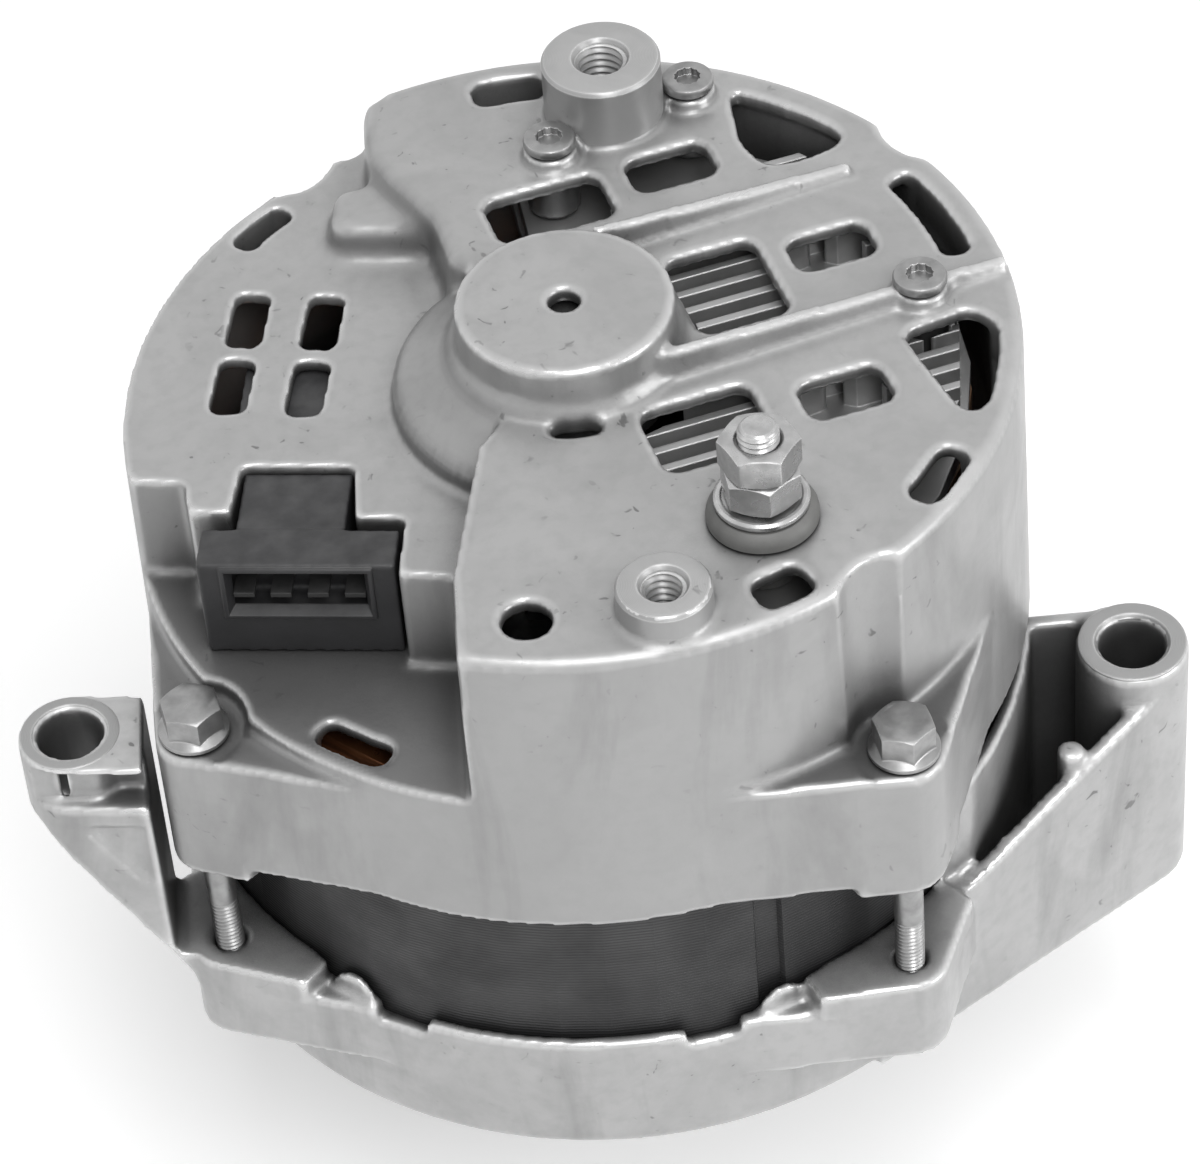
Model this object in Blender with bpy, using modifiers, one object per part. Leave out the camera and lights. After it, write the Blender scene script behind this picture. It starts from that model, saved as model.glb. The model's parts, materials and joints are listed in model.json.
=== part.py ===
"""Belt-driven vehicle alternator, modelled as the separate pieces that it comes apart into.

Everything stands on one rotor axis, the Z axis: the drive end of the shaft is at z = 0 and the
slip-ring end is up. Sizes are metres. Angles are degrees, counted from +X towards +Y.
"""
import math

import bmesh
import bpy
from mathutils import Matrix, Vector

# Facets round the two frames and the pieces inside them
FRAME_FACETS = 54

# Sizes that the rest hangs on
CAN_RADIUS = 0.0668        # both frames at their rims
PLATE_RADIUS = CAN_RADIUS - 0.0008
LAYOUT = PLATE_RADIUS / 0.0660  # plan positions on the plate keep their share of its radius
STATOR_RADIUS = CAN_RADIUS - 0.0024
STATOR_BORE = 0.7298 * STATOR_RADIUS
BEARING_OUTER_RADIUS = 0.0235
DRIVE_HUB_RADIUS = BEARING_OUTER_RADIUS + 0.0080

# Clearances
SEAT = 0.0003              # between faces that touch on the real machine
RUNNING = 0.0003           # radial, between rolling pieces and their races
AIR_GAP = 0.0005           # rotor to stator bore
FAN_CLEARANCE = 0.0008     # fan blades to the drive end frame
MERGE = 0.000002           # welding distance for seams and poles

# Shaft and what is stacked on its drive end
SHAFT_RADIUS = 0.0085
SHAFT_THREAD_RADIUS = 0.0079
SHAFT_STANDOUT = 0.0030
ROTOR_SEAT_RADIUS = 0.0092
SHAFT_SHOULDER_RADIUS = 0.0108
SLIP_SEAT_RADIUS = 0.0056
REAR_JOURNAL_RADIUS = 0.0049
NUT_ACROSS_FLATS = 0.0240
NUT_HEIGHT = 0.0110
LOCK_WASHER_RADIUS = 0.0138
LOCK_WASHER_THICKNESS = 0.0022
PULLEY_RADIUS = 0.0300
PULLEY_HUB_RADIUS = 0.0145
PULLEY_WEB_DEPTH = 0.0095
PULLEY_RIM_THICKNESS = 0.0052
PULLEY_GROOVES = 6
GROOVE_PITCH = 0.00356
GROOVE_DEPTH = 0.0025
PULLEY_END_LAND = 0.0006
FAN_RADIUS = CAN_RADIUS - 0.0098
FAN_PLATE_THICKNESS = 0.0016
FAN_BLADE_HEIGHT = 0.0070
FAN_BLADE_COUNT = 10
FAN_BLADE_ROOT_RADIUS = 0.0290
SPACER_RADIUS = 0.0103

# Drive end frame
DRIVE_FRAME_DEPTH = 0.0247
DRIVE_BASE_THICKNESS = 0.0042
DRIVE_BASE_CHAMFER = 0.0020
FRAME_WALL = 0.0045        # below the stator seat
REGISTER_DEPTH = 0.0036    # how far each frame reaches over the stator
DRIVE_LUG_RISE = 0.0037
DRIVE_LUG_DEPTH = 0.0155
DRIVE_LUG_SPAN = 12.2      # what rises above the rim, each side of the bolt
DRIVE_VENT_COUNT = 8
DRIVE_VENT_INNER = DRIVE_HUB_RADIUS + 0.0030
DRIVE_VENT_OUTER = CAN_RADIUS - 0.0108
DRIVE_VENT_SPAN = 30.0
SHAFT_HOLE_RADIUS = 0.0112
RIM_NOTCH_WIDTH = 0.0081
RIM_NOTCH_DEPTH = 0.0025
RIM_NOTCH_ANGLES = (-120.3, -79.3, 20.0, 100.0)
RIM_PAD_RADIUS = 0.0037
RIM_PAD_ANGLES = (-127.8, -69.6, 52.2, 110.4)

# Front ball bearing, 17 x 47 x 14
BEARING_WIDTH = 0.0140
BEARING_RACE_WALL = 0.3067 * (BEARING_OUTER_RADIUS - SHAFT_RADIUS)
BALL_RADIUS = 0.28 * (BEARING_OUTER_RADIUS - SHAFT_RADIUS)
BALL_COUNT = 7
BALL_CAGE_HEIGHT = 0.0046
BEARING_FLOOR = 0.0022
RETAINER_THICKNESS = 0.0018
RETAINER_SCREW_CIRCLE = BEARING_OUTER_RADIUS + 0.0042
RETAINER_SCREW_RADIUS = 0.0015
RETAINER_SCREW_LENGTH = 0.0090
RETAINER_HEAD_RADIUS = 0.0028
RETAINER_HEAD_HEIGHT = 0.0014

# Stator
STATOR_LENGTH = 0.0330
SLOT_COUNT = 36
SLOT_BOTTOM = STATOR_RADIUS - 0.0064
SLOT_WIDTH = 0.0046
STATOR_GROOVE_ANGLE = -70.6
STATOR_GROOVE_WIDTH = 0.0045
STATOR_GROOVE_DEPTH = 0.0009
STATOR_GROOVE_COUNT = 4
END_TURN_INNER = STATOR_BORE + 0.0022
END_TURN_OUTER = STATOR_RADIUS - 0.0042
END_TURN_HEIGHT = 0.0130
END_TURN_ROUNDING = 0.0030

# Rotor
ROTOR_LENGTH = 0.0338
POLE_DISC_THICKNESS = 0.0085
POLE_PAIRS = 6
POLE_ROOT_HALF_ANGLE = 12.5
POLE_TIP_HALF_ANGLE = 5.5
POLE_ROOT_DEPTH = 0.0095
POLE_TIP_DEPTH = 0.0040
POLE_TIP_SHORTFALL = 0.0030
POLE_VALLEY_RADIUS = STATOR_BORE - 0.0160
POLE_CORE_RADIUS = 0.4255 * STATOR_BORE
FIELD_COIL_RADIUS = STATOR_BORE - 0.0125
REAR_FAN_RADIUS = STATOR_BORE - 0.0040
REAR_FAN_HOLE = 0.0180
REAR_FAN_BLADE_HEIGHT = 0.0080
REAR_FAN_BLADE_COUNT = 8
SLIP_RING_RADIUS = 0.0085
SLIP_RING_WALL = 0.0012
SLIP_RING_WIDTH = 0.0070
SLIP_RING_GAP = 0.0020
SLIP_RINGS_ABOVE_ROTOR = 0.0180

# Slip-ring end frame
SLIP_FRAME_HEIGHT = 0.0528  # rim to the top of the vented plate
DECK_DROP = 0.0096
SHELF_DROP = 0.0280
LUG_TOP_HEIGHT = 0.0223    # above the rim
LUG_FOOT_DROP = 0.0022
LUG_FOOT_SPAN = 7.6
PLATE_THICKNESS = 0.0026
SLIP_FRAME_WALL = 0.0055
PLATE_EDGE = 0.0010
HUB_RADIUS = 0.0160
HUB_RISE = 0.0080
HUB_TOP_THICKNESS = 0.0030
HUB_HOLE_RADIUS = 0.0024
HUB_BARREL_DEPTH = 0.0105
HUB_BARREL_WALL = 0.0036
COLLAR_RADIUS = 0.0262
COLLAR_RISE = 0.0038       # of its outer edge above the deck

# Through bolts
BOLT_CIRCLE = CAN_RADIUS + 0.0052
BOLT_ANGLE = -54.2         # of the first bolt, the others follow at quarter turns
BOLT_COUNT = 4
BOLT_RADIUS = 0.0022
BOLT_HEAD_FLATS = 0.0080
BOLT_HEAD_HEIGHT = 0.0044
BOLT_FLANGE_RADIUS = 0.0052
BOLT_FLANGE_THICKNESS = 0.0012
BOLT_INTO_DRIVE_LUG = 0.0135
LUG_RADIUS = 0.0058
SPOT_FACE_DEPTH = 0.0004
ACCESS_GROOVE_RADIUS = 0.0088
ACCESS_GROOVE_DRAFT = 0.0010

# Mounting foot on the right and adjusting ear on the left, plan positions from the rotor axis
FOOT_CENTRE = (CAN_RADIUS + 0.0141, -0.0154)
FOOT_RADIUS = 0.0086
FOOT_BORE_RADIUS = 0.00515
FOOT_LENGTH = 0.0466
FOOT_BOSS_STANDOUT = 0.0008
ARM_WALL = 0.0026
ARM_FLOOR = 0.0035
ARM_FRONT_WALL_LOW = 0.0275
ARM_FRONT_WALL_HIGH = 0.0428
ARM_STUB_RADIUS = 0.0022
EAR_CENTRE = (-CAN_RADIUS - 0.0103, -0.0357)
EAR_RADIUS = 0.0077
EAR_BORE_RADIUS = 0.0049
EAR_TURN = -7.3
EAR_TOP_HEIGHT = 0.0685    # above the drive end frame's face
EAR_THICKNESS = 0.0127
EAR_FLANGE = 0.0012
EAR_BAND_HEIGHT = 0.0070
EAR_BAND_DEPTH = 0.0024
EAR_CLEARANCE = 0.0022     # to the slip-ring end frame's lug

# Features on the slip-ring end frame, plan positions from the rotor axis
VENT_TURN = 15.4           # the vented area is laid out square to this direction
VENT_ROUNDING = 0.0014
REAR_BOSS_CENTRE = (0.0088 * LAYOUT, 0.0515 * LAYOUT)
REAR_BOSS_RADIUS = 0.0090
REAR_BOSS_HEIGHT = 0.0105
FRONT_BOSS_CENTRE = (0.0100 * LAYOUT, -0.0569 * LAYOUT)
FRONT_BOSS_RADIUS = 0.0067
FRONT_BOSS_HEIGHT = 0.0048
REAR_BOSS_THREAD_RADIUS = 0.00425
FRONT_BOSS_THREAD_RADIUS = 0.0035
BOSS_HOLE_DEPTH = 0.0112    # both bosses are tapped blind, so no chip drops on the rectifier
BOSS_FLOOR = 0.0024
PLAIN_HOLE_CENTRE = (-0.0091 * LAYOUT, -0.0563 * LAYOUT)
PLAIN_HOLE_RADIUS = 0.0036
SCREW_BOSS_CENTRES = tuple((x * LAYOUT, y * LAYOUT) for x, y in ((0.0218, 0.0533), (0.0, 0.0420), (0.0518, 0.0033)))
SCREW_BOSS_RADIUS = 0.0042
SCREW_BOSS_HEIGHT = 0.0020
SCREW_RADIUS = 0.0017
SCREW_HEAD_RADIUS = 0.0029
SCREW_HEAD_HEIGHT = 0.0016
LOUVRE_TURN = -10.0
LOUVRE_CENTRE = (-0.0431 * LAYOUT, 0.0137 * LAYOUT)
LOUVRE_PITCH = (0.0113, 0.0146)
LOUVRE_SIZE = (0.0053, 0.0118)
BUMP_CENTRE = (-0.0262 * LAYOUT, 0.0385 * LAYOUT)
BUMP_SIZE = (0.0160, 0.0110)
BUMP_HEIGHT = 0.0056

# Battery terminal
STUD_CENTRE = (0.0249 * LAYOUT, -0.0405 * LAYOUT)
STUD_RADIUS = 0.0030
STUD_STANDOUT = 0.0020     # above the upper nut
TERMINAL_FLATS = 0.0102
TERMINAL_NUT_HEIGHT = 0.0050
TERMINAL_WASHER_RADIUS = 0.0068
TERMINAL_WASHER_THICKNESS = 0.0012
INSULATOR_RADIUS = 0.0080
INSULATOR_RISE = 0.0030
INSULATOR_SLEEVE_RADIUS = 0.0047

# Rectifier
SINK_THICKNESS = 0.0030
SINK_DEPTH = 0.0104        # underside below the vented plate's underside
FIN_PITCH = 0.0038
FIN_THICKNESS = 0.0013
FIN_COUNT = 17
FIN_TO_PLATE = 0.0017
SINK_INNER = 0.0190
SINK_OUTER = PLATE_RADIUS - 0.0075
SINK_START = -72.0
SINK_END = 97.0
DIODE_CIRCLE = SINK_OUTER - 0.0165
DIODE_RADIUS = 0.0052
DIODE_HEIGHT = 0.0070
POSITIVE_DIODE_ANGLES = (64.4, 21.4, -22.8)
NEGATIVE_DIODE_ANGLES = (43.0, -0.5, -45.0)
RECTIFIER_INSULATOR_HEIGHT = 0.0050
NEGATIVE_SINK_THICKNESS = 0.0026

# Regulator, brushes and their holder, in a plan frame turned by CONNECTOR_TURN
CONNECTOR_TURN = -7.6
CONNECTOR_LEFT = -0.0515
CONNECTOR_RIGHT = -0.0228
CONNECTOR_FRONT = -0.0362
CONNECTOR_BACK = -0.0287
CONNECTOR_NECK_BACK = -0.0167
CONNECTOR_TOP_BELOW_DECK = 0.0009
SOCKET_WALL = 0.0036
SOCKET_HEIGHT = 0.0092
SOCKET_LID = 0.0010
SOCKET_DEPTH = 0.0060
NECK_LEFT = -0.0469
NECK_RIGHT = -0.0305
BLADE_COUNT = 4
BLADE_SIZE = (0.0030, 0.0050, 0.0008)
BLADE_RISE = 0.0036
BRUSH_SIZE = (0.0140, 0.0050, 0.0060)
BRUSH_TRAVEL = 0.0040
BRUSH_SPRING_SPACE = 0.0080
BRUSH_SPRING_RADIUS = 0.0019
BRUSH_SPRING_WIRE = 0.0003
BRUSH_SPRING_TURNS = 4
BRUSH_HOLDER_WIDTH = 0.0160
BRUSH_HOLDER_END_WALL = 0.0014
BRUSH_HOLDER_MARGIN = 0.0012
CAPACITOR_CENTRE = (-0.0020, -0.0380)
CAPACITOR_SIZE = (0.0150, 0.0110, 0.0105)

# Rear roller bearing
REAR_CUP_RADIUS = 0.0108
REAR_CUP_LENGTH = 0.0130
REAR_CUP_LIP = 0.0008
ROLLER_RADIUS = 0.0012
ROLLER_COUNT = 8

# Levels along the rotor axis, from the drive end of the shaft upwards
NUT_LOW = SHAFT_STANDOUT
NUT_TOP = NUT_LOW + NUT_HEIGHT
WASHER_LOW = NUT_TOP + SEAT
WASHER_TOP = WASHER_LOW + LOCK_WASHER_THICKNESS
PULLEY_WIDTH = PULLEY_GROOVES * GROOVE_PITCH + 2 * PULLEY_END_LAND
PULLEY_LOW = WASHER_TOP + SEAT
PULLEY_TOP = PULLEY_LOW + PULLEY_WIDTH
FAN_LOW = PULLEY_TOP + SEAT
FAN_PLATE_TOP = FAN_LOW + FAN_PLATE_THICKNESS
DRIVE_FACE = FAN_PLATE_TOP + FAN_BLADE_HEIGHT + FAN_CLEARANCE
BEARING_LOW = DRIVE_FACE + BEARING_FLOOR + SEAT
BEARING_TOP = BEARING_LOW + BEARING_WIDTH
DRIVE_HUB_TOP = BEARING_TOP + SEAT
DRIVE_FLOOR = DRIVE_FACE + DRIVE_BASE_THICKNESS
DRIVE_RIM = DRIVE_FACE + DRIVE_FRAME_DEPTH
DRIVE_LUG_TOP = DRIVE_RIM + DRIVE_LUG_RISE
STATOR_LOW = DRIVE_RIM - REGISTER_DEPTH + SEAT
STATOR_TOP = STATOR_LOW + STATOR_LENGTH
STATOR_MIDDLE = (STATOR_LOW + STATOR_TOP) / 2
SLIP_RIM = STATOR_TOP + SEAT - REGISTER_DEPTH
LUG_TOP = SLIP_RIM + LUG_TOP_HEIGHT
PLATE_TOP = SLIP_RIM + SLIP_FRAME_HEIGHT
PLATE_UNDER = PLATE_TOP - PLATE_THICKNESS
DECK_TOP = PLATE_TOP - DECK_DROP
DECK_UNDER = DECK_TOP - PLATE_THICKNESS
SHELF_TOP = PLATE_TOP - SHELF_DROP
SHELF_UNDER = SHELF_TOP - PLATE_THICKNESS
HUB_TOP = PLATE_TOP + HUB_RISE
REAR_BOSS_TOP = PLATE_TOP + REAR_BOSS_HEIGHT
FRONT_BOSS_TOP = PLATE_TOP + FRONT_BOSS_HEIGHT
BARREL_LOW = PLATE_TOP - HUB_BARREL_DEPTH
REAR_CUP_TOP = HUB_TOP - HUB_TOP_THICKNESS - SEAT
REAR_CUP_LOW = REAR_CUP_TOP - REAR_CUP_LENGTH
BARREL_RADIUS = REAR_CUP_RADIUS + HUB_BARREL_WALL
ROTOR_LOW = STATOR_MIDDLE - ROTOR_LENGTH / 2
ROTOR_TOP = ROTOR_LOW + ROTOR_LENGTH
REAR_FAN_LOW = ROTOR_TOP + SEAT
SLIP_RINGS_LOW = ROTOR_TOP + SLIP_RINGS_ABOVE_ROTOR
SLIP_RINGS_TOP = SLIP_RINGS_LOW + 2 * SLIP_RING_WIDTH + SLIP_RING_GAP
SHAFT_TOP = REAR_CUP_TOP - 0.0010
SINK_LOW = PLATE_UNDER - SINK_DEPTH
SINK_TOP = SINK_LOW + SINK_THICKNESS
FIN_TOP = PLATE_UNDER - FIN_TO_PLATE
RECTIFIER_INSULATOR_LOW = SINK_LOW - SEAT - RECTIFIER_INSULATOR_HEIGHT
NEGATIVE_SINK_TOP = RECTIFIER_INSULATOR_LOW - SEAT
NEGATIVE_SINK_LOW = NEGATIVE_SINK_TOP - NEGATIVE_SINK_THICKNESS
EAR_TOP = DRIVE_FACE + EAR_TOP_HEIGHT
EAR_LOW = EAR_TOP - EAR_THICKNESS
FOOT_TOP = DRIVE_FACE + FOOT_LENGTH
ROTOR_RADIUS = STATOR_BORE - AIR_GAP
REGISTER_RADIUS = STATOR_RADIUS + SEAT
BOLT_ANGLES = [BOLT_ANGLE + 360.0 / BOLT_COUNT * i for i in range(BOLT_COUNT)]

FINISHES = {
    "cast_aluminium": ((0.62, 0.62, 0.61), 0.42, 0.85),
    "zinc_steel": ((0.66, 0.66, 0.64), 0.32, 0.95),
    "bearing_steel": ((0.55, 0.55, 0.56), 0.20, 1.0),
    "lamination_steel": ((0.09, 0.09, 0.09), 0.50, 0.40),
    "pole_steel": ((0.16, 0.16, 0.17), 0.55, 0.70),
    "copper": ((0.62, 0.25, 0.11), 0.35, 0.90),
    "black_plastic": ((0.035, 0.035, 0.037), 0.50, 0.0),
    "brown_insulation": ((0.20, 0.11, 0.06), 0.60, 0.0),
    "carbon": ((0.05, 0.05, 0.055), 0.70, 0.10),
    "painted_steel": ((0.04, 0.04, 0.045), 0.45, 0.20),
}


# Scene, collections and materials

def empty_scene():
    for obj in list(bpy.data.objects):
        bpy.data.objects.remove(obj, do_unlink=True)


def make_collection(name):
    collection = bpy.data.collections.new(name)
    bpy.context.scene.collection.children.link(collection)
    return collection


def make_material(name):
    colour, roughness, metallic = FINISHES[name]
    material = bpy.data.materials.new(name)
    material.use_nodes = True
    shader = material.node_tree.nodes["Principled BSDF"]
    shader.inputs["Base Color"].default_value = (*colour, 1.0)
    shader.inputs["Roughness"].default_value = roughness
    shader.inputs["Metallic"].default_value = metallic
    return material


empty_scene()
PIECES = make_collection("alternator")
TOOLS = make_collection("alternator_cutters")
MATERIALS = {name: make_material(name) for name in FINISHES}


# Modelling helpers

def add_tool(mesh):
    """Puts a mesh in the scene as a construction body, kept out of renders until it is finished."""
    obj = bpy.data.objects.new("tool", mesh)
    TOOLS.objects.link(obj)
    obj.hide_render = True
    obj.display_type = "WIRE"
    return obj


def weld(obj):
    """Merges coincident points, turns the faces outwards and joins faces that lie in one plane."""
    shape = bmesh.new()
    shape.from_mesh(obj.data)
    bmesh.ops.remove_doubles(shape, verts=shape.verts, dist=MERGE)
    bmesh.ops.dissolve_degenerate(shape, edges=shape.edges, dist=MERGE)
    bmesh.ops.recalc_face_normals(shape, faces=shape.faces)
    shape.to_mesh(obj.data)
    shape.free()
    return obj


def flatten(obj, angle=0.2):
    """Joins faces that lie in one plane."""
    shape = bmesh.new()
    shape.from_mesh(obj.data)
    bmesh.ops.dissolve_limit(
        shape, angle_limit=math.radians(angle), use_dissolve_boundaries=False,
        verts=shape.verts, edges=shape.edges, delimit=set(),
    )
    shape.to_mesh(obj.data)
    shape.free()
    return obj


def settle(obj):
    """Applies an object's modifiers, or turns a curve into a mesh, in place."""
    graph = bpy.context.evaluated_depsgraph_get()
    graph.update()
    mesh = bpy.data.meshes.new_from_object(obj.evaluated_get(graph))
    mesh.transform(obj.matrix_world)
    settled = add_tool(mesh)
    bpy.data.objects.remove(obj, do_unlink=True)
    return weld(settled)


def turned(profile, steps=24, closed=True):
    """Turns (radius, height) points about Z. They run down the outer side, top to bottom."""
    count = len(profile)
    edges = [(i, i + 1) for i in range(count - 1)]
    if closed:
        edges.append((count - 1, 0))
    mesh = bpy.data.meshes.new("profile")
    mesh.from_pydata([(r, 0.0, z) for r, z in profile], edges, [])
    obj = add_tool(mesh)
    screw = obj.modifiers.new("turn", "SCREW")
    screw.steps = steps
    screw.render_steps = steps
    screw.use_merge_vertices = True
    screw.merge_threshold = MERGE
    return settle(obj)


def prism(outline, low, high, holes=()):
    """Raises a flat outline, with any holes in it, from one level to another."""
    curve = bpy.data.curves.new("outline", "CURVE")
    curve.dimensions = "2D"
    curve.fill_mode = "BOTH"
    curve.extrude = (high - low) / 2
    for loop in (outline, *holes):
        spline = curve.splines.new("POLY")
        spline.points.add(len(loop) - 1)
        for point, (x, y) in zip(spline.points, loop):
            point.co = (x, y, 0.0, 1.0)
        spline.use_cyclic_u = True
    obj = bpy.data.objects.new("outline", curve)
    TOOLS.objects.link(obj)
    obj.location.z = (low + high) / 2
    bpy.context.view_layer.update()
    return settle(obj)


def cylinder(centre, radius, low, high, segments=24, top_radius=None):
    """An upright round bar, or a cone when its top radius differs."""
    shape = bmesh.new()
    bmesh.ops.create_cone(
        shape, cap_ends=True, segments=segments, radius1=radius,
        radius2=radius if top_radius is None else top_radius, depth=high - low,
    )
    bmesh.ops.translate(shape, verts=shape.verts, vec=(centre[0], centre[1], (low + high) / 2))
    mesh = bpy.data.meshes.new("bar")
    shape.to_mesh(mesh)
    shape.free()
    return add_tool(mesh)


def block(low_corner, high_corner):
    """An upright box between two corners."""
    shape = bmesh.new()
    bmesh.ops.create_cube(shape, size=1.0)
    size = Vector(high_corner) - Vector(low_corner)
    middle = (Vector(high_corner) + Vector(low_corner)) / 2
    bmesh.ops.scale(shape, verts=shape.verts, vec=size)
    bmesh.ops.translate(shape, verts=shape.verts, vec=middle)
    mesh = bpy.data.meshes.new("block")
    shape.to_mesh(mesh)
    shape.free()
    return add_tool(mesh)


def hull(points):
    """The tight skin around some points."""
    shape = bmesh.new()
    for point in points:
        shape.verts.new(point)
    bmesh.ops.convex_hull(shape, input=shape.verts)
    bmesh.ops.recalc_face_normals(shape, faces=shape.faces)
    mesh = bpy.data.meshes.new("hull")
    shape.to_mesh(mesh)
    shape.free()
    return flatten(add_tool(mesh))


def move(obj, matrix):
    obj.data.transform(matrix)
    return obj


def spun(obj, degrees):
    return move(obj, Matrix.Rotation(math.radians(degrees), 4, "Z"))


def boolean(target, tool, operation):
    step = target.modifiers.new(operation.lower(), "BOOLEAN")
    step.operation = operation
    step.solver = "EXACT"
    step.object = tool
    result = settle(target)
    bpy.data.objects.remove(tool, do_unlink=True)
    return result


def join(target, *tools):
    for tool in tools:
        target = boolean(target, tool, "UNION")
    return target


def cut(target, *tools):
    for tool in tools:
        target = boolean(target, tool, "DIFFERENCE")
    return target


def shared(target, tool):
    return boolean(target, tool, "INTERSECT")


def finish(obj, name, material, smooth_angle=35.0):
    """Makes a construction body a piece: its name, material, shading and collection."""
    flatten(obj)
    obj.name = name
    obj.data.name = name
    obj.data.materials.clear()
    obj.data.materials.append(MATERIALS[material])
    obj.data.shade_smooth()
    obj.data.set_sharp_from_angle(angle=math.radians(smooth_angle))
    obj.hide_render = False
    obj.display_type = "TEXTURED"
    TOOLS.objects.unlink(obj)
    PIECES.objects.link(obj)
    return obj


def set_origin(obj, point):
    """Moves an object's origin to a point on its joint's axis and leaves its shape in place."""
    obj.data.transform(Matrix.Translation(-Vector(point)))
    obj.location = point
    return obj


# Plan geometry

def polar(radius, degrees):
    angle = math.radians(degrees)
    return (radius * math.cos(angle), radius * math.sin(angle))


def arc(centre, radius, start, end, steps):
    """Points along an arc, both ends included."""
    angles = [start + (end - start) * i / steps for i in range(steps + 1)]
    return [(centre[0] + polar(radius, a)[0], centre[1] + polar(radius, a)[1]) for a in angles]


def facet_arc(radius, start, end):
    """The corners, between two angles, of a round that was turned with FRAME_FACETS steps."""
    step = 360.0 / FRAME_FACETS
    return [polar(radius, step * i) for i in range(math.ceil(start / step), math.floor(end / step) + 1)]


def circle(centre, radius, steps=32):
    return arc(centre, radius, 0.0, 360.0, steps)[:-1]


def band(inner, outer, start, end, steps=4):
    """A slot that follows the rim."""
    return arc((0, 0), outer, start, end, steps) + arc((0, 0), inner, end, start, steps)


def hexagon(across_flats):
    return circle((0, 0), across_flats / math.sqrt(3), 6)


def rotated(points, degrees):
    c, s = math.cos(math.radians(degrees)), math.sin(math.radians(degrees))
    return [(c * x - s * y, s * x + c * y) for x, y in points]


def shifted(points, offset):
    return [(x + offset[0], y + offset[1]) for x, y in points]


def rounded(points, radius, steps=2):
    """Rounds each corner of an outline."""
    result = []
    count = len(points)
    for i, corner in enumerate(points):
        here = Vector(corner)
        back = (Vector(points[i - 1]) - here)
        ahead = (Vector(points[(i + 1) % count]) - here)
        reach = min(radius, 0.45 * back.length, 0.45 * ahead.length)
        start = here + back.normalized() * reach
        end = here + ahead.normalized() * reach
        for k in range(steps + 1):
            t = k / steps
            result.append(tuple((1 - t) ** 2 * start + 2 * t * (1 - t) * here + t ** 2 * end))
    return result


def rectangle(left, front, right, back):
    return [(left, front), (right, front), (right, back), (left, back)]


def bolt_point(index, circle_radius=BOLT_CIRCLE):
    return polar(circle_radius, BOLT_ANGLES[index])


def lug_outline(index, span=None):
    """A rounded lug round a through bolt, tied to the can by tangent flats, or the part of it within a span."""
    angle = BOLT_ANGLES[index]
    half = math.degrees(math.acos((CAN_RADIUS - LUG_RADIUS) / BOLT_CIRCLE))
    inside = CAN_RADIUS - 0.0014
    nose = arc(polar(BOLT_CIRCLE, angle), LUG_RADIUS, angle - half, angle + half, 6)
    if span is None:
        return [polar(inside, angle - half - 0.6), *nose, polar(inside, angle + half + 0.6)]
    flat = CAN_RADIUS / math.cos(math.radians(half - span))
    return [
        polar(inside, angle - span), polar(flat, angle - span), *nose,
        polar(flat, angle + span), polar(inside, angle + span),
    ]


# Slip-ring end frame: a thin die-cast can, open below, with a raised and vented plate, a lower
# deck, a shelf for the connector, four bolt lugs and the rear bearing's hub

def deck_outline():
    """What is lowered from plate height to deck height, left of the raised part."""
    outside = -0.0900
    return [
        (outside, 0.0750), (-0.0283, 0.0750), (-0.0283, 0.0470), (-0.0250, 0.0400),
        (-0.0188, 0.0305), (-0.0168, 0.0205),
        *arc((0, 0), HUB_RADIUS + 0.0006, 128.0, 236.0, 8),
        (-0.0140, -0.0205), (-0.0189, -0.0467), (-0.0192, -0.0750), (outside, -0.0750),
    ]


def pocket_outline():
    """What is lowered from deck height to the shelf that the connector stands on."""
    near_deck = [
        (-0.0750, -0.0192), (-0.0550, -0.0199), (-0.0536, -0.0261), (-0.0476, -0.0261),
        (NECK_LEFT, CONNECTOR_NECK_BACK + SEAT), (NECK_RIGHT, CONNECTOR_NECK_BACK + SEAT), (-0.0294, -0.0271), (-0.0221, -0.0271),
        (-0.0221, -0.0386), (-0.0141, -0.0390),
    ]
    return rotated(near_deck, CONNECTOR_TURN) + [(-0.0192, -0.0750), (-0.0850, -0.0750)]


def deck_cavity_outline():
    """The hollow under the deck, a wall's thickness behind the pocket."""
    wall = rotated([
        (-0.0560, -0.0168), (-0.0498, -0.0168), (-0.0498, -0.0136), (-0.0276, -0.0136),
        (-0.0276, -0.0242), (-0.0193, -0.0242), (-0.0193, -0.0358), (-0.0113, -0.0360),
    ], CONNECTOR_TURN)
    return facet_arc(CAN_RADIUS - SLIP_FRAME_WALL, -106.0, 193.0) + wall


def plate_cavity_outline():
    """The hollow under the raised plate, beside the rear bearing's barrel."""
    wall = [
        (-0.0256, 0.0462), (-0.0224, 0.0390), (-0.0160, 0.0295), (-0.0136, 0.0200),
        (-0.0080, 0.0100), (-0.0080, -0.0160), (-0.0113, -0.0215), (-0.0163, -0.0467),
    ]
    return facet_arc(CAN_RADIUS - SLIP_FRAME_WALL, -103.0, 114.5) + wall


def slot(outline, radius):
    """A slot's outline with its four end corners trimmed."""
    half = len(outline) // 2
    result = []
    for first in (0, half):
        side = outline[first:first + half]
        start = Vector(side[0]).lerp(Vector(side[1]), min(0.45, radius / (Vector(side[1]) - Vector(side[0])).length))
        end = Vector(side[-1]).lerp(Vector(side[-2]), min(0.45, radius / (Vector(side[-1]) - Vector(side[-2])).length))
        before = Vector(outline[first - 1])
        after = Vector(outline[(first + half) % len(outline)])
        result.append(tuple(Vector(side[0]) + (before - Vector(side[0])).normalized() * radius))
        result += [tuple(start), *side[1:-1], tuple(end)]
        result.append(tuple(Vector(side[-1]) + (after - Vector(side[-1])).normalized() * radius))
    return result


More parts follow.
